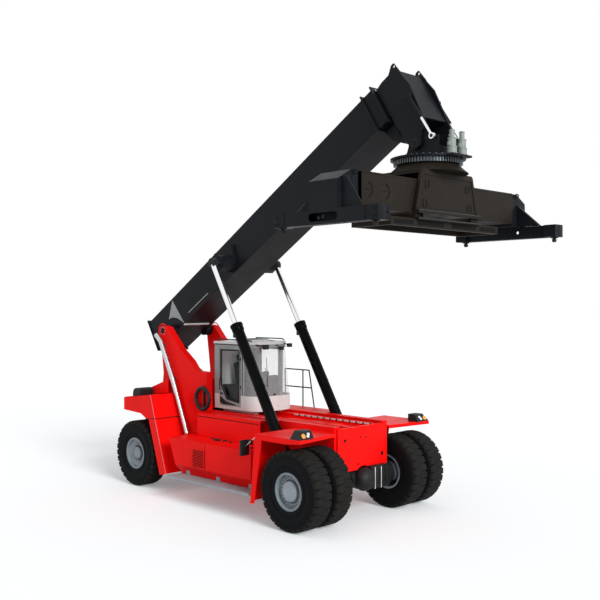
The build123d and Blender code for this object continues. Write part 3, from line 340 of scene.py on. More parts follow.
class Shape:
    """A mesh under construction, made with bmesh operators and finished as one piece."""

    def __init__(self, place: Matrix = TO_ROW) -> None:
        """Start an empty mesh.

        Args:
            place: matrix from the shape's own coordinates to the row frame.
        """
        self.bm = bmesh.new()
        self.place = place

    def _soften(self, verts: Iterable[bmesh.types.BMVert], width: float, segments: int = 2) -> None:
        """Bevel every edge between these vertices."""
        verts = set(verts)
        edges = [e for e in self.bm.edges if e.verts[0] in verts and e.verts[1] in verts]
        bmesh.ops.bevel(self.bm, geom=edges, offset=width, offset_type="OFFSET", segments=segments,
                        profile=0.5, affect="EDGES", clamp_overlap=True, material=-1)

    def block(self, x: Span, y: Span, z: Span, bevel: float = 0.0, turn: Optional[Matrix] = None) -> None:
        """Add a block between two values on each axis.

        Args:
            x: low and high X.
            y: low and high Y.
            z: low and high Z.
            bevel: width of the softened edges.
            turn: a further matrix for the block.
        """
        verts = bmesh.ops.create_cube(self.bm, size=1.0)["verts"]
        size = Vector([abs(s[1] - s[0]) for s in (x, y, z)])
        centre = Vector([(s[0] + s[1]) / 2 for s in (x, y, z)])
        bmesh.ops.scale(self.bm, vec=size, verts=verts)
        bmesh.ops.transform(self.bm, matrix=(turn or Matrix()) @ Matrix.Translation(centre), verts=verts)
        if bevel:
            self._soften(verts, bevel)

    def bar(self, start: Point, end: Point, radius: float, sides: int = 20,
            end_radius: Optional[float] = None, bevel: float = 0.0) -> None:
        """Add a round bar, or a cone, between two points.

        Args:
            start: centre of one end.
            end: centre of the other end.
            radius: radius at the start.
            sides: sides of its section.
            end_radius: radius at the end, if another.
            bevel: width of the softened rims.
        """
        a, b = Vector(start), Vector(end)
        made = bmesh.ops.create_cone(self.bm, cap_ends=True, cap_tris=False, segments=sides, radius1=radius,
                                     radius2=radius if end_radius is None else end_radius,
                                     depth=(b - a).length)
        turn = (b - a).to_track_quat("Z", "Y").to_matrix().to_4x4()
        verts = made["verts"]
        if bevel:
            rims = [e for e in {e for v in verts for e in v.link_edges}
                    if any(len(f.verts) > 4 for f in e.link_faces)]
            done = bmesh.ops.bevel(self.bm, geom=rims, offset=bevel, offset_type="OFFSET", segments=2,
                                   profile=0.5, affect="EDGES", clamp_overlap=True, material=-1)
            verts = list({v for v in verts if v.is_valid} | set(done["verts"]))
        bmesh.ops.transform(self.bm, matrix=Matrix.Translation((a + b) / 2) @ turn, verts=verts)

    def tube(self, points: Sequence[Point], radius: float, sides: int = 14) -> None:
        """Add a bent round bar through several points."""
        for a, b in zip(points, points[1:]):
            self.bar(a, b, radius, sides)
        for p in points[1:-1]:
            made = bmesh.ops.create_icosphere(self.bm, subdivisions=2, radius=radius * 1.01)
            bmesh.ops.translate(self.bm, vec=Vector(p), verts=made["verts"])

    def turned(self, profile: Sequence[Point], centre: Point, axis: Point, steps: int) -> None:
        """Add a turned ring.

        Args:
            profile: closed outline of (radius, distance along the axis).
            centre: the point where the distance is zero.
            axis: direction of the axis.
            steps: number of steps round.
        """
        verts = [self.bm.verts.new((r, 0, along)) for r, along in profile]
        face = self.bm.faces.new(verts)
        edges = list(face.edges)
        self.bm.faces.remove(face)
        before = set(self.bm.verts) - set(verts)
        bmesh.ops.spin(self.bm, geom=verts + edges, cent=(0, 0, 0), axis=(0, 0, 1), dvec=(0, 0, 0),
                       angle=2 * math.pi, steps=steps, use_merge=True, use_normal_flip=False,
                       use_duplicate=False)
        made = [v for v in self.bm.verts if v not in before]
        turn = Vector(axis).to_track_quat("Z", "Y").to_matrix().to_4x4()
        bmesh.ops.transform(self.bm, matrix=Matrix.Translation(Vector(centre)) @ turn, verts=made)

    def ring(self, inner: float, outer: float, low: float, high: float, centre: Point, axis: Point,
             steps: int) -> None:
        """Add a turned ring with a rectangular section.

        Args:
            inner: its inner radius.
            outer: its outer radius.
            low: where it starts along the axis.
            high: where it ends along the axis.
            centre: the point where the distance is zero.
            axis: direction of the axis.
            steps: number of steps round.
        """
        self.turned([(inner, low), (outer, low), (outer, high), (inner, high)], centre, axis, steps)

    def plate(self, outline: Sequence[Point], across: Point, bevel: float = 0.0) -> None:
        """Add a plate: a flat outline pushed along a vector.

        Args:
            outline: points of one face, in order.
            across: vector from that face to the other.
            bevel: width of the softened edges.
        """
        verts = [self.bm.verts.new(Vector(p)) for p in outline]
        face = self.bm.faces.new(verts)
        grown = bmesh.ops.extrude_face_region(self.bm, geom=[face], use_keep_orig=True)
        moved = [g for g in grown["geom"] if isinstance(g, bmesh.types.BMVert)]
        bmesh.ops.translate(self.bm, vec=Vector(across), verts=moved)
        if bevel:
            self._soften(verts + moved, bevel, 1)

    def bolts(self, points: Iterable[Point], across: Point, radius: float) -> None:
        """Add hexagon bolt heads with washers.

        Args:
            points: centres on the surface.
            across: unit vector out of the surface.
            radius: radius of a head.
        """
        out = Vector(across)
        for point in points:
            p = Vector(point)
            self.bar(p, p + out * radius * WASHER_HEIGHT, radius * WASHER_RADIUS, 12)
            self.bar(p + out * radius * WASHER_HEIGHT, p + out * radius * HEAD_HEIGHT, radius, 6)

    def bolt_circle(self, count: int, circle: float, centre: Point, across: Point, radius: float,
                    start: float = 0.0) -> None:
        """Add bolt heads evenly round a circle.

        Args:
            count: how many.
            circle: the circle's radius.
            centre: its centre, on the surface.
            across: unit vector out of the surface, along one of the axes.
            radius: radius of a head.
            start: angle of the first bolt, in degrees.
        """
        axis = "xyz"[[abs(a) for a in across].index(1)]
        self.bolts(ring_points(count, circle, centre, axis, start), across, radius)

    def piece(self, name: str, finish: Finish, body: str = "chassis", replaces: Sequence[str] = (),
              slot: Optional[str] = None, sharp: float = 35.0) -> bpy.types.Object:
        """Finish the mesh as one piece that rides on a body.

        Args:
            name: the piece's name.
            finish: its material.
            body: the CAD body that it rides on.
            replaces: CAD nodes that it stands for.
            slot: the record's material slot; not used.
            sharp: edges over this angle in degrees stay sharp.

        Returns:
            The new object.
        """
        bm = self.bm
        bmesh.ops.recalc_face_normals(bm, faces=bm.faces)
        bmesh.ops.transform(bm, matrix=self.place, verts=bm.verts)
        mesh = bpy.data.meshes.new(name)
        bm.to_mesh(mesh)
        bm.free()
        mesh.shade_smooth()
        mesh.set_sharp_from_angle(angle=math.radians(sharp))
        mesh.materials.append(finish.build())
        obj = linked(name, mesh)
        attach(obj, body)
        if replaces:
            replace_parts(obj, *replaces)
        LOG.info("%s: %d faces on %s", name, len(mesh.polygons), body)
        return obj


def dress(finish: Finish, *nodes: str) -> None:
    """Give CAD nodes a finish in their objects' material slots.

    Args:
        finish: the material.
        nodes: names of CAD nodes.
    """
    for name in nodes:
        obj = frame["nodes"][name]
        if not obj.material_slots:
            obj.data.materials.append(None)
        for slot in obj.material_slots:
            slot.material = finish.build()


# what each CAD node that stays in sight is made of
DRESSING: tuple[tuple[Finish, tuple[str, ...]], ...] = (
    (RED_ENAMEL, ("chassis_frame", "front_plate", "deck", "side_boxes", "front_fenders", "rear_fenders",
                  "engine_hood")),
    (BLACK_ENAMEL,
     ("outer_boom", "inner_boom", "yoke", "damper_barrels", "arm_right", "arm_left", "handrail")),
    (BROWN_ENAMEL, ("carriage", "main_beam")),
    (BARREL_PAINT, ("lift_barrel_right", "lift_barrel_left")),
    (HARD_CHROME, ("lift_rod_right", "lift_rod_left", "damper_rods")),
    (GEAR_STEEL, ("slew_ring",)),
    (MOTOR_PAINT, ("slew_motors",)),
    (IRON, ("counterweight", "engine_block", "drive_axle", "steer_axle", "knuckle_right", "knuckle_left",
            "twistlock_front_right", "twistlock_front_left", "twistlock_rear_right", "twistlock_rear_left")),
    (RIM_COAT, ("front_rims_right", "front_rims_left", "rear_rim_right", "rear_rim_left")),
    (ZINC, ("steps",)),
    (STAINLESS, ("exhaust_pipe",)),
    (HOSE, ("hose_loop",)),
    (BLACK_ABS, ("lamps", "mirrors", "cab_lamp", "cab_console")),
    (WHITE_ENAMEL, ("cab_roof", "cab_base")),
    (GREY_ENAMEL, ("cab_shell", "door_right", "door_left")),
    (GLASS, ("cab_glass",)),
    (TINTED_GLASS, ("door_glass_right", "door_glass_left")),
)


def ring_points(count: int, radius: float, centre: Point, axis: str, start: float) -> list[Vector]:
    """Points evenly round a circle.

    Args:
        count: how many.
        radius: the circle's radius.
        centre: its centre.
        axis: the axis that the circle is square to.
        start: angle of the first point, in degrees.

    Returns:
        The points.
    """
    out = []
    for i in range(count):
        angle = math.radians(start + 360.0 * i / count)
        c, s = radius * math.cos(angle), radius * math.sin(angle)
        offset = {"x": (0, c, s), "y": (c, 0, s), "z": (c, s, 0)}[axis]
        out.append(Vector(centre) + Vector(offset))
    return out


def spun(shape: Shape, count: int, centre: Point, axis: Point) -> None:
    """Repeat everything in the shape evenly round an axis.

    Args:
        shape: what to repeat.
        count: how many there are in the end.
        centre: a point on the axis.
        axis: its direction.
    """
    bm = shape.bm
    bmesh.ops.spin(bm, geom=list(bm.verts) + list(bm.edges) + list(bm.faces), cent=Vector(centre),
                   axis=Vector(axis), dvec=(0, 0, 0), angle=2 * math.pi * (count - 1) / count,
                   steps=count - 1, use_merge=False, use_normal_flip=False, use_duplicate=True)


# ---------------------------------------------------------------- wheels
@dataclass
class Wheels:
    """Six lugged tyres with their rims' nuts and rings.

    section is (radius, distance from the tyre's middle), block_outline is a tread block seen
    from above and shoulder_outline the same block from the side, as (X, depth). The moulded
    rings stand on the wall, at its half width over the bead and its bulge outside that.
    """

    radius: float = 0.811
    ring_radii: tuple[float, ...] = (0.50, 0.625, 0.70)
    wall: float = 0.2345
    wall_bulge: float = 0.0115
    blocks_round: int = 30
    block_height: float = 0.03
    twin_y: tuple[float, float] = (1.82, 1.22)
    rear_y: float = 1.41
    rim_face_y: float = 1.925
    hub_face_y: float = 2.012
    rear_face_y: float = 1.505
    section: tuple[Point, ...] = ((0.374, -0.17), (0.386, -0.204), (0.43, -0.221), (0.45, -0.236),
                                  (0.468, -0.226), (0.56, -0.246), (0.66, -0.245), (0.735, -0.236),
                                  (0.77, -0.214), (0.788, -0.17), (0.801, -0.125), (0.8105, -0.1))
    block_outline: tuple[Point, ...] = ((-0.084, 0.0), (0.079, 0.0), (0.084, 0.10), (0.083, 0.196),
                                        (-0.048, 0.196), (-0.068, 0.10))
    shoulder_outline: tuple[Point, ...] = ((-0.042, 0.075), (-0.048, 0.012), (0.083, 0.012), (0.077, 0.075))

    def tyre(self, name: str, x: float, y: float, body: str, node: str) -> bpy.types.Object:
        """Build one tyre with its moulded rings and its tread.

        Args:
            name: the piece's name.
            x: X of its axle.
            y: Y of its middle.
            body: the wheel's body.
            node: the CAD node that it stands for.

        Returns:
            The tyre.
        """
        shape = Shape()
        centre = (x, y, AXLE_Z)
        shape.turned(list(self.section) + [(r, -w) for r, w in reversed(self.section)], centre, Y_AXIS, 96)
        for r in self.ring_radii:
            for side in (-1, 1):
                w = side * (self.wall + self.wall_bulge * min(1.0, (r - 0.46) / 0.1))
                shape.ring(r, r + 0.008, w - 0.004, w + 0.002, centre, Y_AXIS, 96)
        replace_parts(self.tread(name.replace("tyre", "tread"), centre, body), node)
        return shape.piece(name, TYRE, body, (node,), "tyre_rubber", 40)

    def tread(self, name: str, centre: Point, body: str) -> bpy.types.Object:
        """Build the shallow blocks round one tyre, staggered from side to side.

        Args:
            name: the piece's name.
            centre: the middle of the tyre.
            body: the wheel's body.

        Returns:
            The blocks, as one piece.
        """
        shape = Shape()
        x, y, _ = centre
        top = AXLE_Z + self.radius
        for side in (-1, 1):
            lean = 0.0 if side < 0 else math.pi / self.blocks_round
            turn = (Matrix.Translation(Vector(centre)) @ Matrix.Rotation(lean, 4, "Y")
                    @ Matrix.Translation(-Vector(centre)))
            block = [turn @ Vector((x + a, y + side * b, top - self.block_height))
                     for a, b in self.block_outline]
            shape.plate(block, turn.to_3x3() @ Vector((0, 0, self.block_height)), 0.006)
            shoulder = [turn @ Vector((x + a, y + side * 0.185, top - c)) for a, c in self.shoulder_outline]
            shape.plate(shoulder, (0, side * 0.045, 0), 0.008)
        spun(shape, self.blocks_round, centre, Y_AXIS)
        return shape.piece(name, TREAD, body, (), "tyre_rubber", 40)

    def front_rim(self, side: str, sign: int) -> None:
        """Add nuts, lock rings and the hub's cap to one side's front rims.

        Args:
            side: right or left.
            sign: -1 on the right, 1 on the left.
        """
        body, out = "front_wheels_" + side, (0, sign, 0)
        face = (0, sign * self.rim_face_y, AXLE_Z)
        hub = (0, sign * self.hub_face_y, AXLE_Z)
        nuts, rings, dark, cap = Shape(), Shape(), Shape(), Shape()
        nuts.bolt_circle(22, 0.266, (0, sign * (self.rim_face_y + 0.004), AXLE_Z), out, 0.0235)
        nuts.bolt_circle(16, 0.165, (0, sign * (self.hub_face_y - 0.001), AXLE_Z), out, 0.009)
        nuts.piece("hub_nuts_" + side, ZINC, body)
        for radius, y in ((0.352, 2.038), (0.372, 2.03)):
            rings.turned([(radius - 0.012, -0.02), (radius + 0.008, -0.02), (radius + 0.008, 0.0),
                          (radius, 0.006), (radius - 0.012, 0.0)], (0, sign * y, AXLE_Z), out, 72)
        rings.turned([(0.30, 0.0), (0.335, 0.0), (0.335, 0.012), (0.3, 0.008)], face, out, 64)
        rings.piece("rim_rings_" + side, RIM_COAT, body)
        dark.ring(0.222, 0.3, 0.0, 0.004, face, out, 64)
        dark.piece("nut_ring_" + side, DARK_RIM_COAT, body)
        cap.turned([(0.204, -0.084), (0.2065, -0.084), (0.2065, -0.018), (0.186, 0.0025), (0.14, 0.0035),
                    (0.0, 0.0035), (0.0, 0.001), (0.184, 0.001), (0.204, -0.02)], hub, out, 72)
        cap.turned([(0.10, 0.0), (0.14, 0.0), (0.135, 0.01), (0.105, 0.01)], hub, out, 48)
        cap.piece("hub_cap_cover_" + side, CAP_COAT, body)

    def rear_rim(self, side: str, sign: int) -> None:
        """Add nuts and rings to one side's rear rim.

        Args:
            side: right or left.
            sign: -1 on the right, 1 on the left.
        """
        body, out = "rear_wheel_" + side, (0, sign, 0)
        x, y = middle("rear_rim_" + side).x - AXLE_X, self.rear_face_y
        face = (x, sign * y, AXLE_Z)
        nuts, dark = Shape(), Shape()
        nuts.bolt_circle(20, 0.222, face, out, 0.024)
        nuts.bolt_circle(26, 0.298, (x, sign * (y + 0.012), AXLE_Z), out, 0.014, 7)
        nuts.bolt_circle(8, 0.085, (x, sign * (y + 0.083), AXLE_Z), out, 0.008)
        nuts.turned([(0.255, 0.0), (0.33, 0.0), (0.34, 0.03), (0.265, 0.012)], face, out, 64)
        dark.ring(0.156, 0.252, 0.0, 0.003, face, out, 56)
        dark.piece("rear_nut_ring_" + side, DARK_RIM_COAT, body)
        nuts.piece("rear_hub_nuts_" + side, ZINC, body)

    def build(self) -> None:
        """Build every tyre and rim detail."""
        rear_x = middle("rear_tyre_left").x - AXLE_X
        for side, sign in SIDES:
            for place, y in zip(("outer", "inner"), self.twin_y):
                self.tyre("tyre_%s_%s" % (place, side), 0, sign * y, "front_wheels_" + side,
                          "front_tyres_" + side)
            self.tyre("tyre_rear_" + side, rear_x, sign * self.rear_y, "rear_wheel_" + side,
                      "rear_tyre_" + side)
            self.front_rim(side, sign)
            self.rear_rim(side, sign)


# ---------------------------------------------------------------- chassis
@dataclass
class Chassis:
    """Seams, grilles, lamps, mirrors, steps and nose fittings on the frame."""

    tank_face_y: float = 1.75
    tank_top_z: float = 1.408
    guard_face_y: float = 1.6505
    guard_top_z: float = 1.88
    step_top_z: float = 0.596
    nose_face_x: float = 0.2
    deck_hose_z: float = 1.885
    tower_face_y: float = 0.85
    lamp_face_x: float = 0.37
    lamp_face_slope: float = 0.485
    lamp_tilt: float = -0.451
    hood_start: tuple[float, float] = (-6.24, 2.404)
    hood_slope: float = 0.333

    def seams(self) -> None:
        """Dark gaps between panels, one seam thickened into painted shadow, and painted highlights down the
        rear guards' corners.
        """
        gaps, edges = Shape(), Shape()
        corner = [(-5.294, 2.329), (-5.109, 1.76), (-4.655, 0.481)]
        for _, sign in SIDES:
            wall = 1.1505 if sign < 0 else 1.5005
            gaps.block(around(-3.02, 0.004), around(sign * (self.tank_face_y + 0.001), 0.002), (0.81, 1.405),
                       0.001)
            gaps.block((-5.36, -5.108), around(sign * self.guard_face_y, 0.0015), (1.747, 1.763), 0.001)
            gaps.bar((-5.106, sign * 1.651, 1.757), (-5.106, sign * 0.865, 1.757), 0.009, 10)
            # painted shadow: the seam under each walkway wall's top edge, thickened into the shade that the
            # overhang above casts
            gaps.block((-4.05, -1.86), around(sign * wall, 0.0015), (1.876, 1.892), 0.001)
            # painted highlight: thin pale bars down the rounded corners of the rear guards
            y = sign * (self.guard_face_y - 0.001)
            for (x0, z0), (x1, z1) in zip(corner, corner[1:]):
                edges.bar((x0, y, z0), (x1, y, z1), 0.004, 8)
        edges.piece("guard_edge_painted_highlights", ZINC)
        gaps.piece("panel_gaps_and_painted_shadow", DARK_GAP)

    def tank_fittings(self) -> None:
        """Filler caps and a breather box on the tanks."""
        fittings = Shape()
        for _, sign in SIDES:
            for x, y, radius in ((-2.92, 1.25, 0.05), (-2.68, 1.27, 0.04), (-3.42, 1.22, 0.03),
                                 (-1.75, 1.45, 0.035)):
                fittings.bar((x, sign * y, self.tank_top_z), (x, sign * y, self.tank_top_z + 0.032), radius,
                             28, bevel=0.006)
            fittings.block((-3.2, -3.05), around(sign * 1.3, 0.05),
                           (self.tank_top_z, self.tank_top_z + 0.042), 0.008)
        fittings.piece("tank_fittings", BLACK_ABS)

    def grilles(self) -> None:
        """Louvred vents with a dotted edge, low on the tanks."""
        slats, back = Shape(), Shape()
        slat = ((0.002, 0.009), (0.012, -0.002), (0.015, 0.001), (0.005, 0.012))
        for _, sign in SIDES:
            y = sign * self.tank_face_y
            back.block((-3.46, -3.06), around(y, 0.003), (0.84, 1.23), 0.002)
            for z in spaced(0.86, 0.035, 11):
                slats.plate([(-3.455, y + sign * out, z + up) for out, up in slat], (0.39, 0, 0), 0.001)
            for z in spaced(0.85, 0.029, 14):
                back.bar((-3.035, y - 0.003, z), (-3.035, y + 0.003, z), 0.0085, 10)
            for x in (-3.475, -3.065):
                slats.block((x, x + 0.02), (y - 0.004, y + sign * 0.014), (0.83, 1.24), 0.003)
        back.piece("vent_shadow", DARK_GAP)
        slats.piece("vent_louvres", RED_ENAMEL, slot="body_paint")

    def lamp_lenses(self) -> None:
        """Round indicators and square work lamps on the guards' lamp boxes, and round tail lamps."""
        amber, clear, rims, red = Shape(), Shape(), Shape(), Shape()
        out = Vector((0.9, 0.0, 0.436))

        def on_face(y: float, rise: float) -> Vector:
            """The point of the lamp box's sloping face at this Y and height over the guard."""
            return Vector((self.lamp_face_x - self.lamp_face_slope * rise, y, self.guard_top_z + rise))

        for _, sign in SIDES:
            p = on_face(sign * 1.94, 0.068)
            amber.bar(p - out * 0.008, p + out * 0.02, 0.052, 32, bevel=0.006)
            rims.turned([(0.0525, 0.0), (0.058, 0.0), (0.058, 0.01), (0.0525, 0.012)], p, out, 40)
            for y, rise in ((1.815, 0.058), (1.785, 0.098)):
                place = Matrix.Translation(on_face(sign * y, rise))
                clear.block((-0.008, 0.014), (-0.033, 0.033), (-0.026, 0.026), 0.006,
                            place @ Matrix.Rotation(self.lamp_tilt, 4, "Y"))
            for y in (1.12, 1.24, 1.36):
                red.bar((-6.348, sign * y, 2.235), (-6.364, sign * y, 2.235), 0.042, 32, bevel=0.006)
        amber.piece("indicator_lenses", AMBER)
        clear.piece("work_lamp_lenses", CLEAR_LENS)
        rims.piece("lamp_bezels", BLACK_ABS)
        red.piece("tail_lenses", RED_LENS)

    def mirrors(self) -> None:
        """Mirror glass, bright arm tubes, their pivots and a small box at each mirror."""
        glass, clamps, arms = Shape(), Shape(), Shape()
        for _, sign in SIDES:
            y = sign * 1.95
            clamps.block((-1.30, -1.22), (sign * 1.88, y), (1.60, 1.685), 0.012)
            arms.tube([(-1.395, y, 1.563), (-1.18, y, 1.70), (-0.97, y, 1.859)], 0.0135, 14)
            glass.block(around(-1.4515, 0.002), (sign * 1.845, sign * 2.045), (1.38, 1.67), 0.002)
            for x, z in ((-1.18, 1.70), (-0.99, 1.845)):
                clamps.bar((x, y - sign * 0.025, z), (x, y + sign * 0.025, z), 0.024, 20, bevel=0.004)
        glass.piece("mirror_glass", MIRROR)
        clamps.piece("mirror_clamps", BLACK_ABS)
        arms.piece("mirror_arm_tubes", STAINLESS)

    def nose(self) -> None:
        """Painted shade in the holes, and the domed cover, valve block and bright rods on the front plate."""
        dark, steel, chrome = Shape(), Shape(), Shape()
        x = self.nose_face_x
        # painted shade: dark discs and a dark rounded square stand for the holes
        for y, z, radius in ((-0.57, 1.69, 0.035), (-0.083, 1.72, 0.02), (0.095, 1.70, 0.02),
                             (-0.165, 1.155, 0.02)):
            dark.bar((x - 0.004, y, z), (x + 0.002, y, z), radius, 24)
        dark.block((x - 0.004, x + 0.002), (0.585, 0.66), (1.25, 1.335), 0.03)
        dark.piece("nose_hole_painted_shade", DARK_GAP)
        steel.block((x + 0.005, x + 0.13), (0.12, 0.65), (0.60, 1.08), 0.015)
        for y in (0.15, 0.60):
            steel.block((x + 0.13, x + 0.15), around(y, 0.02), (0.62, 1.06), 0.006)
        for z in (0.66, 0.84, 1.02):
            steel.block((x + 0.13, x + 0.142), (0.17, 0.58), around(z, 0.02), 0.004)
        steel.turned([(0.19, 0.0), (0.24, 0.0), (0.24, 0.02), (0.22, 0.035), (0.19, 0.035)],
                     (x + 0.02, 0, AXLE_Z), X_AXIS, 64)
        steel.turned([(0.0, 0.0), (0.252, 0.0), (0.252, 0.05), (0.24, 0.1), (0.205, 0.16), (0.15, 0.205),
                      (0.08, 0.232), (0.0, 0.24)], (x, 0, AXLE_Z), X_AXIS, 56)
        steel.piece("nose_valve_block", IRON)
        for y in (0.20, 0.40):
            chrome.bar((x + 0.165, y, 0.6), (x + 0.165, y, 1.06), 0.013, 20, bevel=0.002)
        chrome.piece("nose_rods", HARD_CHROME)

    def deck_rails(self) -> None:
        """Clips, white strips and pads along the cab's rails."""
        clips, pads, strips = Shape(), Shape(), Shape()
        for _, sign in SIDES:
            for x in spaced(-3.8, 0.29, 14):
                clips.block((x, x + 0.05), (sign * 0.43, sign * 0.462), (1.87, 1.9), 0.004)
                clips.bolts([(x + 0.025, sign * 0.45, 1.9)], Z_AXIS, 0.009)
            for x in spaced(-2.3, 0.2, 12):
                strips.block((x, x + 0.155), (sign * 0.362, sign * 0.371), (1.925, 1.957), 0.003)
                pads.block((x + 0.155, x + 0.2), (sign * 0.360, sign * 0.371), (1.915, 1.957), 0.003)
        strips.piece("rail_strips", WHITE_ENAMEL, slot="cab_paint")
        pads.piece("rail_pads", BLACK_ABS)
        clips.piece("rail_clips", ZINC)

    def deck_fittings(self) -> None:
        """Hose runs and a bolted cover on the deck."""
        hoses, cover = Shape(), Shape()
        z = self.deck_hose_z
        for y in (0.56, 0.60, -0.57):
            hoses.tube([(-1.9, y, z), (-1.1, y, z + 0.002), (-0.2, y - 0.02, z), (0.1, y - 0.05, z)], 0.014,
                       12)
        hoses.piece("deck_hoses", HOSE)
        cover.block((-1.5, -0.6), (-0.33, 0.33), (1.868, 1.884), 0.006)
        cover.bolts([(x, y, 1.883) for x in spaced(-1.44, 0.26, 4) for y in (-0.29, 0.29)], Z_AXIS, 0.01)
        cover.piece("deck_cover", RED_ENAMEL, slot="body_paint")

    def step_tread(self) -> None:
        """Raised studs and an edge bar on the step plates, and red aprons behind them."""
        studs, apron = Shape(), Shape()
        top = self.step_top_z
        for _, sign in SIDES:
            for x in spaced(-3.98, 0.071, 40):
                for y in spaced(1.70, 0.082, 5):
                    studs.bar((x, sign * y, top - 0.001), (x, sign * y, top + 0.004), 0.014, 8, 0.008)
            studs.block((-4.02, -1.2), (sign * 2.045, sign * 2.066), (top - 0.02, top + 0.012), 0.004)
            apron.plate([(-4.03, sign * 1.655, 0.6), (-1.2, sign * 1.655, 0.6), (-1.2, sign * 1.68, 0.69),
                         (-4.03, sign * 1.68, 0.69)], (0, -sign * 0.012, 0), 0.002)
        studs.piece("step_studs", ZINC)
        apron.piece("step_aprons", RED_ENAMEL, slot="body_paint")

    def towers(self) -> None:
        """Pivot caps and pipe clamps on the boom towers."""
        bolts, red = Shape(), Shape()
        pivot = pivot_of("boom_lift")
        for _, sign in SIDES:
            bolts.bolt_circle(8, 0.1, (pivot.x, sign * 0.858, pivot.z), (0, sign, 0), 0.011)
            red.turned([(0.16, 0.0), (0.19, 0.0), (0.185, 0.012), (0.165, 0.012)],
                       (pivot.x, sign * self.tower_face_y, pivot.z), (0, sign, 0), 48)
            for x, z in ((-5.33, 2.70), (-5.78, 3.52)):
                bolts.block(around(x, 0.07), (-0.93, -0.90), around(z, 0.03), 0.005)
        bolts.piece("tower_bolts", ZINC)
        red.piece("pivot_rings", RED_ENAMEL, slot="body_paint")

    def hood(self) -> None:
        """Painted shade between the louvres across the sloping hood, and latches on the tail."""
        dark = Shape()
        start_x, start_z = self.hood_start
        # painted shade: dark bars for the shaded openings between the louvres
        for x in spaced(-6.1, 0.05, 12):
            z = start_z + (x - start_x) * self.hood_slope
            dark.block((x, x + 0.02), (-0.45, 0.45), (z - 0.003, z + 0.006), 0.002)
        for y in (-0.62, 0.62):
            dark.block((-6.75, -6.6), around(y, 0.03), (2.248, 2.285), 0.006)
        dark.piece("hood_louvre_shade_and_latches", DARK_GAP)

    def build(self) -> None:
        """Build the chassis details."""
        self.seams()
        self.tank_fittings()
        self.grilles()
        self.lamp_lenses()
        self.mirrors()
        self.nose()
        self.deck_rails()
        self.deck_fittings()
        self.step_tread()
        self.towers()
        self.hood()


# ---------------------------------------------------------------- boom and cylinders
@dataclass
class Boom:
    """Strips, marks, bolts and pads on the fixed section, in the boom's axes s, y and n."""

    half_width: float = 0.475
    low: float = -0.051
    high: float = 0.759
    pin_cap_y: float = 0.864
    lift_eye: tuple[float, float] = (2.788, 0.221)

    def marks(self) -> None:
        """Flange strips, a plain grey shape, a thin light line, and a painted highlight across the underside
        near the pivot.
        """
        strips, light, grey = Shape(ON_BOOM), Shape(ON_BOOM), Shape(ON_BOOM)
        for _, sign in SIDES:
            y = sign * (self.half_width + 0.001)
            for n in (self.low + 0.004, self.high - 0.004):
                strips.block((-0.85, 8.08), around(y, 0.002), around(n, 0.004), 0.001)
            grey.plate([(s, y, n) for s, n in ((-0.074, 0.376), (0.317, 0.719), (0.45, -0.045),
                                               (0.245, 0.226), (0.082, 0.343))],
                       (0, sign * 0.004, 0), 0.001)
            light.plate([(s, y, n) for s, n in ((0.735, 0.097), (1.671, 0.091), (1.671, 0.079),
                                                (0.735, 0.085))],
                        (0, sign * 0.003, 0), 0.0005)
        # painted highlight: a pale bar across the boom's underside near the pivot, where light catches its
        # cross tube
        light.block((0.39, 0.44), (-0.47, 0.34), (self.low - 0.035, self.low + 0.002), 0.008)
        strips.piece("boom_flanges", BLACK_ENAMEL, "boom", slot="boom_paint")
        grey.piece("boom_recess_paint", GREY_ENAMEL, "boom", slot="door_paint")
        light.piece("boom_stripe_and_painted_highlight", WHITE_ENAMEL, "boom", slot="cab_paint")

    def bolts(self) -> None:
        """Bolts round the collar and on the pins, and the collar's slide pads."""
        bolts, pads = Shape(ON_BOOM), Shape(ON_BOOM)
        s, n = self.lift_eye
        for _, sign in SIDES:
            for at, way in ((8.099, -1), (8.401, 1)):
                bolts.bolts([(at, sign * (self.half_width + 0.03), up) for up in spaced(-0.02, 0.125, 7)],
                            (way, 0, 0), 0.013)
            bolts.bolt_circle(8, 0.155, (s, sign * self.pin_cap_y, n), (0, sign, 0), 0.011)
            bolts.bolt_circle(4, 0.045, (0, sign * self.pin_cap_y, 0), (0, sign, 0), 0.009)
        bolts.piece("boom_bolts", IRON, "boom")
        for y in spaced(-0.36, 0.24, 4):
            pads.block((8.431, 8.452), around(y, 0.07), (0.70, 0.742), 0.006)
        pads.piece("collar_slide_pads", MOTOR_PAINT, "boom")

    def build(self) -> None:
        """Build the boom's details."""
        self.marks()
        self.bolts()


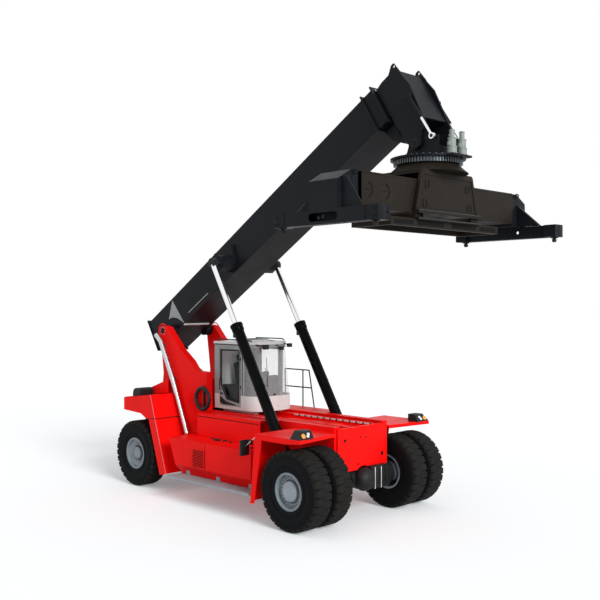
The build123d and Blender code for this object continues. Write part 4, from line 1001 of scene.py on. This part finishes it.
@dataclass
class LiftCylinders:
    """Glands, side pipes, port blocks and eye caps of the two lift cylinders."""

    barrel_length: float = 3.23

    def gland(self, side: str, foot: Vector, way: Vector) -> None:
        """Build one barrel's gland with its bolts, and three bands round the barrel.

        Args:
            side: right or left.
            foot: the foot pin's middle.
            way: direction of the rod's stroke.
        """
        trim = Shape()
        end = foot + way * self.barrel_length
        across = way.cross(Vector(Y_AXIS)).normalized()
        other = way.cross(across)
        trim.turned([(0.085, 0.0), (0.15, 0.0), (0.15, -0.05), (0.142, -0.06), (0.142, -0.16), (0.128, -0.18),
                     (0.125, -0.18), (0.124, -0.02), (0.085, -0.02)], end, way, 56)
        for along in (0.9, 1.6, 2.3):
            trim.ring(0.1245, 0.129, 0.0, 0.04, foot + way * along, way, 40)
        trim.bolts([end + (across * math.cos(a) + other * math.sin(a)) * 0.118
                    for a in spaced(0.0, math.radians(30), 12)], way, 0.012)
        trim.piece("cylinder_gland_" + side, BARREL_PAINT, "lift_barrel_" + side, slot="dark_steel")

    def pipe(self, side: str, foot: Vector, way: Vector) -> None:
        """Build the pipe along the back of one barrel, with its port block.

        Args:
            side: right or left.
            foot: the foot pin's middle.
            way: direction of the rod's stroke.
        """
        pipe = Shape()
        across = way.cross(Vector(Y_AXIS)).normalized()
        back = across * (1 if across.x < 0 else -1)
        pipe.tube([foot + way * along + back * away for along, away in
                   ((0.45, 0.128), (0.5, 0.155), (self.barrel_length - 0.3, 0.155),
                    (self.barrel_length - 0.22, 0.15))], 0.014, 12)
        pipe.block((-0.045, 0.045), (-0.04, 0.04), (-0.05, 0.05), 0.008,
                   Matrix.Translation(foot + way * (self.barrel_length - 0.2) + back * 0.15))
        pipe.piece("cylinder_pipe_" + side, IRON, "lift_barrel_" + side)

    def eye(self, side: str, sign: int) -> None:
        """Build one rod eye's rims and its pin's bolted cap.

        Args:
            side: right or left.
            sign: -1 on the right, 1 on the left.
        """
        eye, out = Shape(), (0, sign, 0)
        s, n = Boom.lift_eye
        pin = ON_BOOM @ Vector((s, sign * 1.02, n)) - TO_ROW.translation
        eye.turned([(0.0625, -0.064), (0.112, -0.064), (0.121, -0.055), (0.121, 0.055), (0.112, 0.064),
                    (0.0625, 0.064), (0.0625, 0.0605), (0.1185, 0.0605), (0.1185, -0.0605),
                    (0.0625, -0.0605)],
                   pin, out, 56)
        face = pin + Vector((0, sign * 0.085, 0))
        eye.turned([(0.0, 0.0), (0.064, 0.0), (0.064, 0.006), (0.058, 0.01), (0.0, 0.01)], face, out, 40)
        eye.bolt_circle(4, 0.035, face + Vector((0, sign * 0.009, 0)), out, 0.008)
        eye.piece("rod_eye_cap_" + side, IRON, "lift_rod_" + side)

    def build(self) -> None:
        """Build both cylinders' trim."""
        for side, sign in SIDES:
            foot = pivot_of("lift_swing_" + side)
            way = Vector(joint("lift_stroke_" + side)["axis"])
            self.gland(side, foot, way)
            self.pipe(side, foot, way)
            self.eye(side, sign)


@dataclass
class Head:
    """Tilting head: pin caps, damper eyes, slewing motors' flanges, ring bolts and hoses."""

    def pins(self, pin: Vector) -> None:
        """Caps on the tilt pin and on the dampers' upper eyes.

        Args:
            pin: the tilt joint's place.
        """
        caps, eyes = Shape(), Shape()
        for _, sign in SIDES:
            out = (0, sign, 0)
            caps.bolt_circle(4, 0.095, (pin.x, sign * 0.428, pin.z), out, 0.011, 45)
            caps.ring(0.0602, 0.08, 0.0, 0.006, (pin.x, sign * 0.4255, pin.z), out, 40)
            p = Vector((pin.x + 0.457, sign * 0.4995, pin.z + 0.075))
            eyes.bar(p, p + Vector(out) * 0.008, 0.036, 28, bevel=0.002)
        caps.piece("tilt_pin_caps", IRON, "boom_head")
        eyes.piece("damper_eye_caps", IRON, "damper_rods")

    def motors(self, x: float) -> None:
        """Flanges, bolts, valve blocks and caps on the two slewing motors.

        Args:
            x: X of their axes.
        """
        bands = Shape()
        for y in (-0.165, 0.165):
            for z, radius in ((7.455, 0.108), (7.575, 0.1), (7.745, 0.088), (7.895, 0.056)):
                bands.ring(radius - 0.02, radius, 0.0, 0.018, (x, y, z), Z_AXIS, 40)
            bands.bolt_circle(8, 0.094, (x, y, 7.473), Z_AXIS, 0.007)
            bands.block(around(x, 0.03), (y - 0.115, y - 0.07), (7.6, 7.68), 0.006)
            bands.bar((x, y, 7.9), (x, y, 7.93), 0.03, 24, bevel=0.004)
        bands.piece("motor_flanges", MOTOR_PAINT, "tilt_frame", slot="motor_paint")

    def build(self) -> None:
        """Build the head's details."""
        pin = pivot_of("head_tilt")
        self.pins(pin)
        self.motors(pin.x + 0.70)
        ring, hoses = Shape(), Shape()
        ring.bolt_circle(36, 0.70, (pin.x, 0, 7.45), Z_AXIS, 0.013)
        ring.piece("slew_ring_bolts", ZINC, "tilt_frame")
        for y in (-0.12, 0.0, 0.12):
            hoses.tube([(pin.x + 0.2, y, 7.46), (pin.x + 0.16, y, 7.62), (pin.x + 0.05, y * 0.8, 7.68),
                        (pin.x - 0.1, y * 0.8, 7.66), (pin.x - 0.2, y * 0.8, 7.46)], 0.016, 12)
        hoses.piece("head_hoses", HOSE, "tilt_frame")


@dataclass
class Spreader:
    """Plates, marks, pads and end fittings on the spreader."""

    front_x: float = 2.348
    depth: float = 0.8
    low: float = 6.28
    high: float = 6.93
    end_face_y: float = 3.03
    lock_y: float = 2.9265
    lock_from_middle: float = 1.13

    def beam(self) -> None:
        """Edge strips and half-round marks on the main beam's front and back."""
        strips, marks = Shape(), Shape()
        for x, out in ((self.front_x, 1), (self.front_x - self.depth, -1)):
            for z in (self.low + 0.02, self.high - 0.02):
                strips.block((x - 0.002 * out, x + 0.006 * out), (-2.44, 2.44), around(z, 0.018), 0.003)
            for y in (-2.29, -1.82):
                arc = [Vector((x, out * (y + r * math.cos(a)), 6.612 + r * math.sin(a)))
                       for r, turns in ((0.15, range(9)), (0.118, reversed(range(9))))
                       for a in (math.radians(-75 + 18.75 * i) for i in turns)]
                marks.plate(arc, (0.004 * out, 0, 0))
                marks.block((x, x + 0.004 * out), (out * (y - 0.08), out * (y + 0.06)), (6.606, 6.618), 0.001)
        strips.piece("beam_strips", BROWN_ENAMEL, "spreader_beam", slot="boom_paint")
        marks.piece("beam_marks", DARK_GAP, "spreader_beam")

    def carriage(self) -> None:
        """Ribs, pad frames, painted highlights along the lower edges, painted shade in the openings, and
        hoses on the carriage.
        """
        x = self.front_x + 0.08
        ribs, edge, dark, hoses = Shape(), Shape(), Shape(), Shape()
        for sign in (-1, 1):
            ribs.plate([(x, sign * y, z) for y, z in ((0.76, 7.1), (0.83, 7.1), (1.02, 6.36), (0.94, 6.36))],
                       (0.014, 0, 0), 0.003)
            for y, z in ((0.66, 6.845), (0.73, 6.475)):
                for a in (-0.055, 0.055):
                    ribs.block((x, x + 0.012), around(sign * y + a, 0.006), around(z, 0.07), 0.002)
                for b in (-0.07, 0.07):
                    ribs.block((x, x + 0.012), around(sign * y, 0.055), around(z + b, 0.006), 0.002)
            # painted shade: dark strips in the openings low on the carriage
            for y0, y1 in ((1.09, 1.64), (0.12, 0.95)):
                dark.block(around(x, 0.003), (sign * y0, sign * y1), (6.045, 6.13), 0.003)
        ribs.block((x, x + 0.016), (-0.8, 0.8), (7.02, 7.12), 0.004)
        ribs.piece("carriage_ribs", BROWN_ENAMEL, "rotator", slot="boom_paint")
        # painted highlight: thin grey steel lines along the carriage's lower edges
        for z in (6.168, 6.331):
            edge.block((2.5085, 2.5125), (-1.02, 1.02), around(z, 0.004), 0.0015)
        edge.piece("carriage_edge_painted_highlights", GEAR_STEEL, "rotator")
        dark.piece("carriage_opening_painted_shade", DARK_GAP, "rotator")
        for y in spaced(-0.3, 0.06, 4):
            hoses.tube([(2.49, y, 6.3), (2.52, y - 0.1, 6.22), (2.52, y - 0.4, 6.21), (2.49, y - 0.6, 6.27)],
                       0.012, 10)
        hoses.piece("carriage_hoses", HOSE, "rotator")

    def end_frame(self, side: str, sign: int) -> None:
        """Lock collars, ribs, guide rings, corner plates, and painted shade in the holes and gaps of one end
        frame.

        Args:
            side: right or left.
            sign: -1 on the right, 1 on the left.
        """
        shape, dark = Shape(), Shape()
        y, lock_y = sign * self.end_face_y, sign * self.lock_y
        mid = self.front_x - self.depth / 2
        shape.bar((mid, y - sign * 0.02, 6.1), (mid, y + sign * 0.001, 6.1), 0.04, 28, bevel=0.006)
        for out in (-1, 1):
            lock_x = mid + out * self.lock_from_middle
            shape.ring(0.042, 0.075, 0.0, -0.02, (lock_x, lock_y, 5.97), Z_AXIS, 36)
            shape.bolt_circle(4, 0.1, (lock_x, lock_y, 6.23), Z_AXIS, 0.012, 45)
            at = mid + out * 0.362
            shape.ring(0.03, 0.05, -0.008, 0.008, (at + out * 0.045, sign * 2.62, 6.89), Y_AXIS, 32)
            # painted shade: a thin dark line in the gap at each gusset
            dark.block((at, at + out * 0.003), around(sign * 2.66, 0.004), (6.25, 6.9), 0.001)
            x = mid + out * 1.19
            shape.block(around(x, 0.075), (y - sign * 0.01, y + sign * 0.0006), (5.98, 6.225), 0.0005)
            # painted shade: four dark squares for the holes in each corner plate
            for a, z in ((-0.03, 6.165), (0.035, 6.155), (-0.03, 6.03), (0.035, 6.04)):
                dark.block(around(x + a, 0.022), (y - sign * 0.004, y + sign * 0.001), around(z, 0.022),
                           0.0005)
        for x in (mid - 1.27, mid - 0.98, mid + 0.98, mid + 1.25):
            shape.block((x, x + 0.02), (y - sign * 0.2, y), (5.972, 6.232), 0.004)
        # painted shade: a thin dark line in the gap at one gusset
        dark.block(around(mid + 0.355, 0.003), (y - sign * 0.003, y + sign * 0.0005), (6.24, 6.72), 0.0002)
        shape.piece("end_frame_trim_" + side, BLACK_ENAMEL, "arm_" + side, slot="boom_paint")
        dark.piece("end_frame_gap_painted_shade_" + side, DARK_GAP, "arm_" + side)

    def build(self) -> None:
        """Build the spreader's details."""
        self.beam()
        self.carriage()
        for side, sign in SIDES:
            self.end_frame(side, sign)


# ---------------------------------------------------------------- cab
@dataclass
class Cab:
    """Door furniture, gaskets, roof equipment and the driver's place."""

    half_width: float = 0.65
    top: float = 3.66
    seat_x: float = -3.45
    window: tuple[Point, ...] = ((-3.78, 2.64), (-3.56, 2.29), (-3.12, 2.23), (-3.11, 3.46), (-3.78, 3.46))
    wedge: tuple[Point, ...] = ((-3.815, 2.2), (-3.815, 2.35), (-3.6, 2.235), (-3.2, 2.165), (-3.25, 2.15),
                                (-3.72, 2.15))

    def door(self, side: str, sign: int) -> None:
        """Window gasket, edge strips, lower wedge, hinges, handle and grab rail of one door.

        Args:
            side: right or left.
            sign: -1 on the right, 1 on the left.
        """
        y = sign * (self.half_width + 0.003)
        inner = y - sign * 0.006
        gasket, furniture = Shape(), Shape()
        for (x0, z0), (x1, z1) in zip(self.window, self.window[1:] + self.window[:1]):
            gasket.bar((x0, inner, z0), (x1, inner, z1), 0.02, 10)
        for x in (-3.822, -3.068):
            gasket.block(around(x, 0.005), (y - sign * 0.008, y - sign * 0.001), (2.16, 3.5), 0.002)
        gasket.plate([(x, inner, z) for x, z in self.wedge], (0, sign * 0.005, 0), 0.001)
        gasket.piece("door_gasket_" + side, BLACK_ABS, "cab_door_" + side)
        for z in (2.6, 3.26):
            furniture.bar((-3.06, sign * self.half_width, z - 0.04),
                          (-3.06, sign * self.half_width, z + 0.04), 0.0155, 16)
        grip = y + sign * 0.035
        furniture.tube([(-3.79, y, 2.50), (-3.79, grip, 2.53), (-3.79, grip, 2.75), (-3.79, y, 2.78)], 0.011,
                       12)
        furniture.block((-3.80, -3.70), (y - 0.004, y + sign * 0.014), (2.39, 2.43), 0.005)
        furniture.piece("door_handle_" + side, BLACK_ABS, "cab_door_" + side)

    def roof(self) -> None:
        """Roof rails, side strips, vent slats and front work lamps."""
        dark = Shape()
        z = self.top
        for _, sign in SIDES:
            dark.tube([(-3.95, sign * 0.6, z), (-3.9, sign * 0.6, z + 0.05), (-2.95, sign * 0.6, z + 0.05),
                       (-2.8, sign * 0.52, z + 0.02)], 0.014, 12)
            dark.bar((-4.0, sign * 0.664, z - 0.066), (-3.0, sign * 0.664, z - 0.066), 0.012, 10)
        for x in spaced(-3.63, 0.062, 9):
            dark.block((x, x + 0.03), (-0.27, 0.27), (z + 0.045, z + 0.053), 0.003)
            dark.block((x, x + 0.02), (0.3, 0.48), (z + 0.001, z + 0.012), 0.003)
        for y, lamp_z in ((0.1, 3.52), (0.37, 3.58)):
            dark.block((-2.5, -2.41), around(y, 0.055), (lamp_z - 0.05, lamp_z + 0.04), 0.012)
            dark.bar((-2.5, y, lamp_z), (-2.66, y - 0.02, z - 0.03), 0.012, 12)
        dark.piece("roof_rails", BLACK_ABS, "cab")

    def seat(self) -> None:
        """Padded driver's seat with its back, head rest and arm rests."""
        x = self.seat_x
        seat = Shape()
        seat.block(around(x, 0.25), (-0.24, 0.24), (2.46, 2.60), 0.05)
        lean = Matrix.Translation((x - 0.22, 0, 2.58)) @ Matrix.Rotation(-0.2, 4, "Y")
        seat.block((-0.06, 0.06), (-0.235, 0.235), (0.0, 0.57), 0.045, lean)
        seat.block((-0.05, 0.04), (-0.125, 0.125), (0.59, 0.76), 0.035, lean)
        for sign in (-1, 1):
            seat.block((x - 0.2, x + 0.19), (sign * 0.255, sign * 0.315), (2.61, 2.675), 0.022)
        cushion = seat.piece("seat_cushions", FABRIC, "cab", ("cab_seat",), "seat_fabric")
        smooth = cushion.modifiers.new("Crown", "SUBSURF")
        smooth.levels = smooth.render_levels = 1

    def inside(self) -> None:
        """Seat base, side consoles with levers, lining, dash with a screen, and the rear blind."""
        base, dash, blind = Shape(), Shape(), Shape()
        base.block((self.seat_x - 0.17, self.seat_x + 0.16), (-0.17, 0.17), (2.1, 2.46), 0.02)
        base.bar((-3.02, 0, 2.82), (-3.0, 0, 2.80), 0.05, 24, bevel=0.006)
        for sign in (-1, 1):
            base.block((-3.85, -3.1), (sign * 0.36, sign * 0.56), (2.15, 2.62), 0.03)
            base.bar((-3.2, sign * 0.45, 2.62), (-3.22, sign * 0.45, 2.74), 0.018, 16, bevel=0.004)
        base.block((-3.972, -3.95), (-0.57, 0.57), (2.13, 2.5), 0.006)
        base.piece("seat_base", BLACK_ABS, "cab")
        dash.block((-2.78, -2.75), (-0.42, -0.22), (2.62, 2.78), 0.01)
        dash.bar((-2.765, -0.32, 2.4), (-2.765, -0.32, 2.62), 0.012, 12)
        dash.block((-2.80, -2.70), (-0.16, 0.26), (2.42, 2.86), 0.05)
        dash.piece("cab_screen", BLACK_ABS, "cab")
        blind.block(around(-3.99, 0.002), (-0.55, 0.55), (2.53, 3.46), 0.001)
        blind.bar((-3.985, -0.55, 3.45), (-3.985, 0.55, 3.45), 0.014, 14)
        blind.piece("rear_blind", BLIND, "cab")

    def windscreen(self) -> None:
        """Wiper, its motor's cap and the dark strips beside the curved glass."""
        dark = Shape()
        dark.bar((-2.52, -0.1, 2.46), (-2.60, -0.28, 3.05), 0.009, 10)
        dark.bar((-2.49, -0.3, 2.62), (-2.625, -0.22, 3.30), 0.008, 10)
        dark.bar((-2.50, -0.1, 2.42), (-2.46, -0.1, 2.44), 0.025, 20, bevel=0.003)
        for sign in (-1, 1):
            dark.bar((-2.99, sign * 0.642, 2.42), (-2.99, sign * 0.642, 3.5), 0.014, 10)
        dark.piece("wiper", BLACK_ABS, "cab")

    def build(self) -> None:
        """Build the cab's details."""
        for side, sign in SIDES:
            self.door(side, sign)
        self.roof()
        self.seat()
        self.inside()
        self.windscreen()


# ---------------------------------------------------------------- studio
@dataclass
class Studio:
    """Pale floor, white surroundings, a soft lamp and the camera.

    Lens and sensor are in millimetres, sun_width in degrees. floor_glow is how much the
    floor glows to the camera only.
    """

    eye: Point = (12.595, -14.0409, 4.6022)
    right: Point = (0.70038, 0.71376, -0.00295)
    up: Point = (0.00370, 0.00050, 0.99999)
    lens: float = 52.384
    sensor: float = 36.0
    world_strength: float = 0.52
    floor_glow: float = 0.215
    sun_strength: float = 2.5
    sun_from: Point = (1.0, -0.22, 0.5)
    sun_width: float = 24.0

    def world(self) -> None:
        """White to the camera, in reflections and through glass; softer as a light."""
        world = bpy.data.worlds.new("studio_air")
        bpy.context.scene.world = world
        tree = empty_tree(world)
        path = add_node(tree, "ShaderNodeLightPath").outputs
        seen = path["Is Camera Ray"]
        for ray in ("Is Transmission Ray", "Is Glossy Ray"):
            seen = add_node(tree, "ShaderNodeMath", {0: seen, 1: path[ray]}, operation="ADD",
                            use_clamp=True).outputs[0]
        level = add_node(tree, "ShaderNodeMapRange", {
            "Value": seen, "To Min": self.world_strength, "To Max": 1.0})
        air = add_node(tree, "ShaderNodeBackground", {"Color": (1, 1, 1, 1), "Strength": level.outputs[0]})
        add_node(tree, "ShaderNodeOutputWorld", {"Surface": air.outputs[0]})

    def floor_material(self) -> bpy.types.Material:
        """Matt near-white, with a faint glow that only the camera sees."""
        material = bpy.data.materials.new("matt_white_floor")
        tree = empty_tree(material)
        path = add_node(tree, "ShaderNodeLightPath")
        glow = add_node(tree, "ShaderNodeMath", {0: path.outputs["Is Camera Ray"], 1: self.floor_glow},
                        operation="MULTIPLY")
        grain = add_node(tree, "ShaderNodeTexNoise", {"Scale": 0.6})
        tint = add_node(tree, "ShaderNodeValToRGB", {"Fac": grain.outputs["Fac"]})
        for element, code in zip(tint.color_ramp.elements, ("#F8F9FA", "#FBFCFD")):
            element.color = linear(code)
        body = add_node(tree, "ShaderNodeBsdfDiffuse", {"Color": tint.outputs["Color"]})
        light = add_node(tree, "ShaderNodeEmission",
                         {"Color": linear("#EEF7FB"), "Strength": glow.outputs[0]})
        both = add_node(tree, "ShaderNodeAddShader", {0: body.outputs[0], 1: light.outputs[0]})
        add_node(tree, "ShaderNodeOutputMaterial", {"Surface": both.outputs[0]})
        return material

    def floor(self) -> None:
        """A plain white floor that keeps the machine's soft shadow."""
        bm = bmesh.new()
        bmesh.ops.create_grid(bm, x_segments=1, y_segments=1, size=160)
        mesh = bpy.data.meshes.new("studio_floor")
        bm.to_mesh(mesh)
        bm.free()
        mesh.materials.append(self.floor_material())
        linked("studio_floor", mesh)

    def lamps(self) -> None:
        """One broad key light from ahead and above."""
        sun = bpy.data.lights.new("key", "SUN")
        sun.energy = self.sun_strength
        sun.angle = math.radians(self.sun_width)
        lamp = linked("key", sun)
        lamp.rotation_mode = "QUATERNION"
        lamp.rotation_quaternion = Vector(self.sun_from).to_track_quat("Z", "Y")

    def camera(self) -> None:
        """The camera, ahead and to the right of the machine."""
        right, up = Vector(self.right), Vector(self.up)
        data = bpy.data.cameras.new("camera")
        data.lens = self.lens
        data.sensor_width = self.sensor
        data.clip_end = 500
        turn = Matrix((right, up, right.cross(up))).transposed().to_4x4()
        camera = linked("camera", data)
        camera.matrix_world = TO_ROW @ Matrix.Translation(Vector(self.eye)) @ turn
        bpy.context.scene.camera = camera

    def build(self) -> None:
        """Build the studio."""
        bpy.context.scene.view_settings.view_transform = "Standard"
        self.world()
        self.floor()
        self.lamps()
        self.camera()


def main() -> None:
    """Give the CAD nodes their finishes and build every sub-assembly."""
    logging.basicConfig(level=logging.INFO, format="%(message)s")
    for finish, nodes in DRESSING:
        dress(finish, *nodes)
    for part in (Wheels(), Chassis(), Boom(), LiftCylinders(), Head(), Spreader(), Cab(), Studio()):
        part.build()
        LOG.info("%s done", type(part).__name__)


if __name__ == "__main__":
    main()
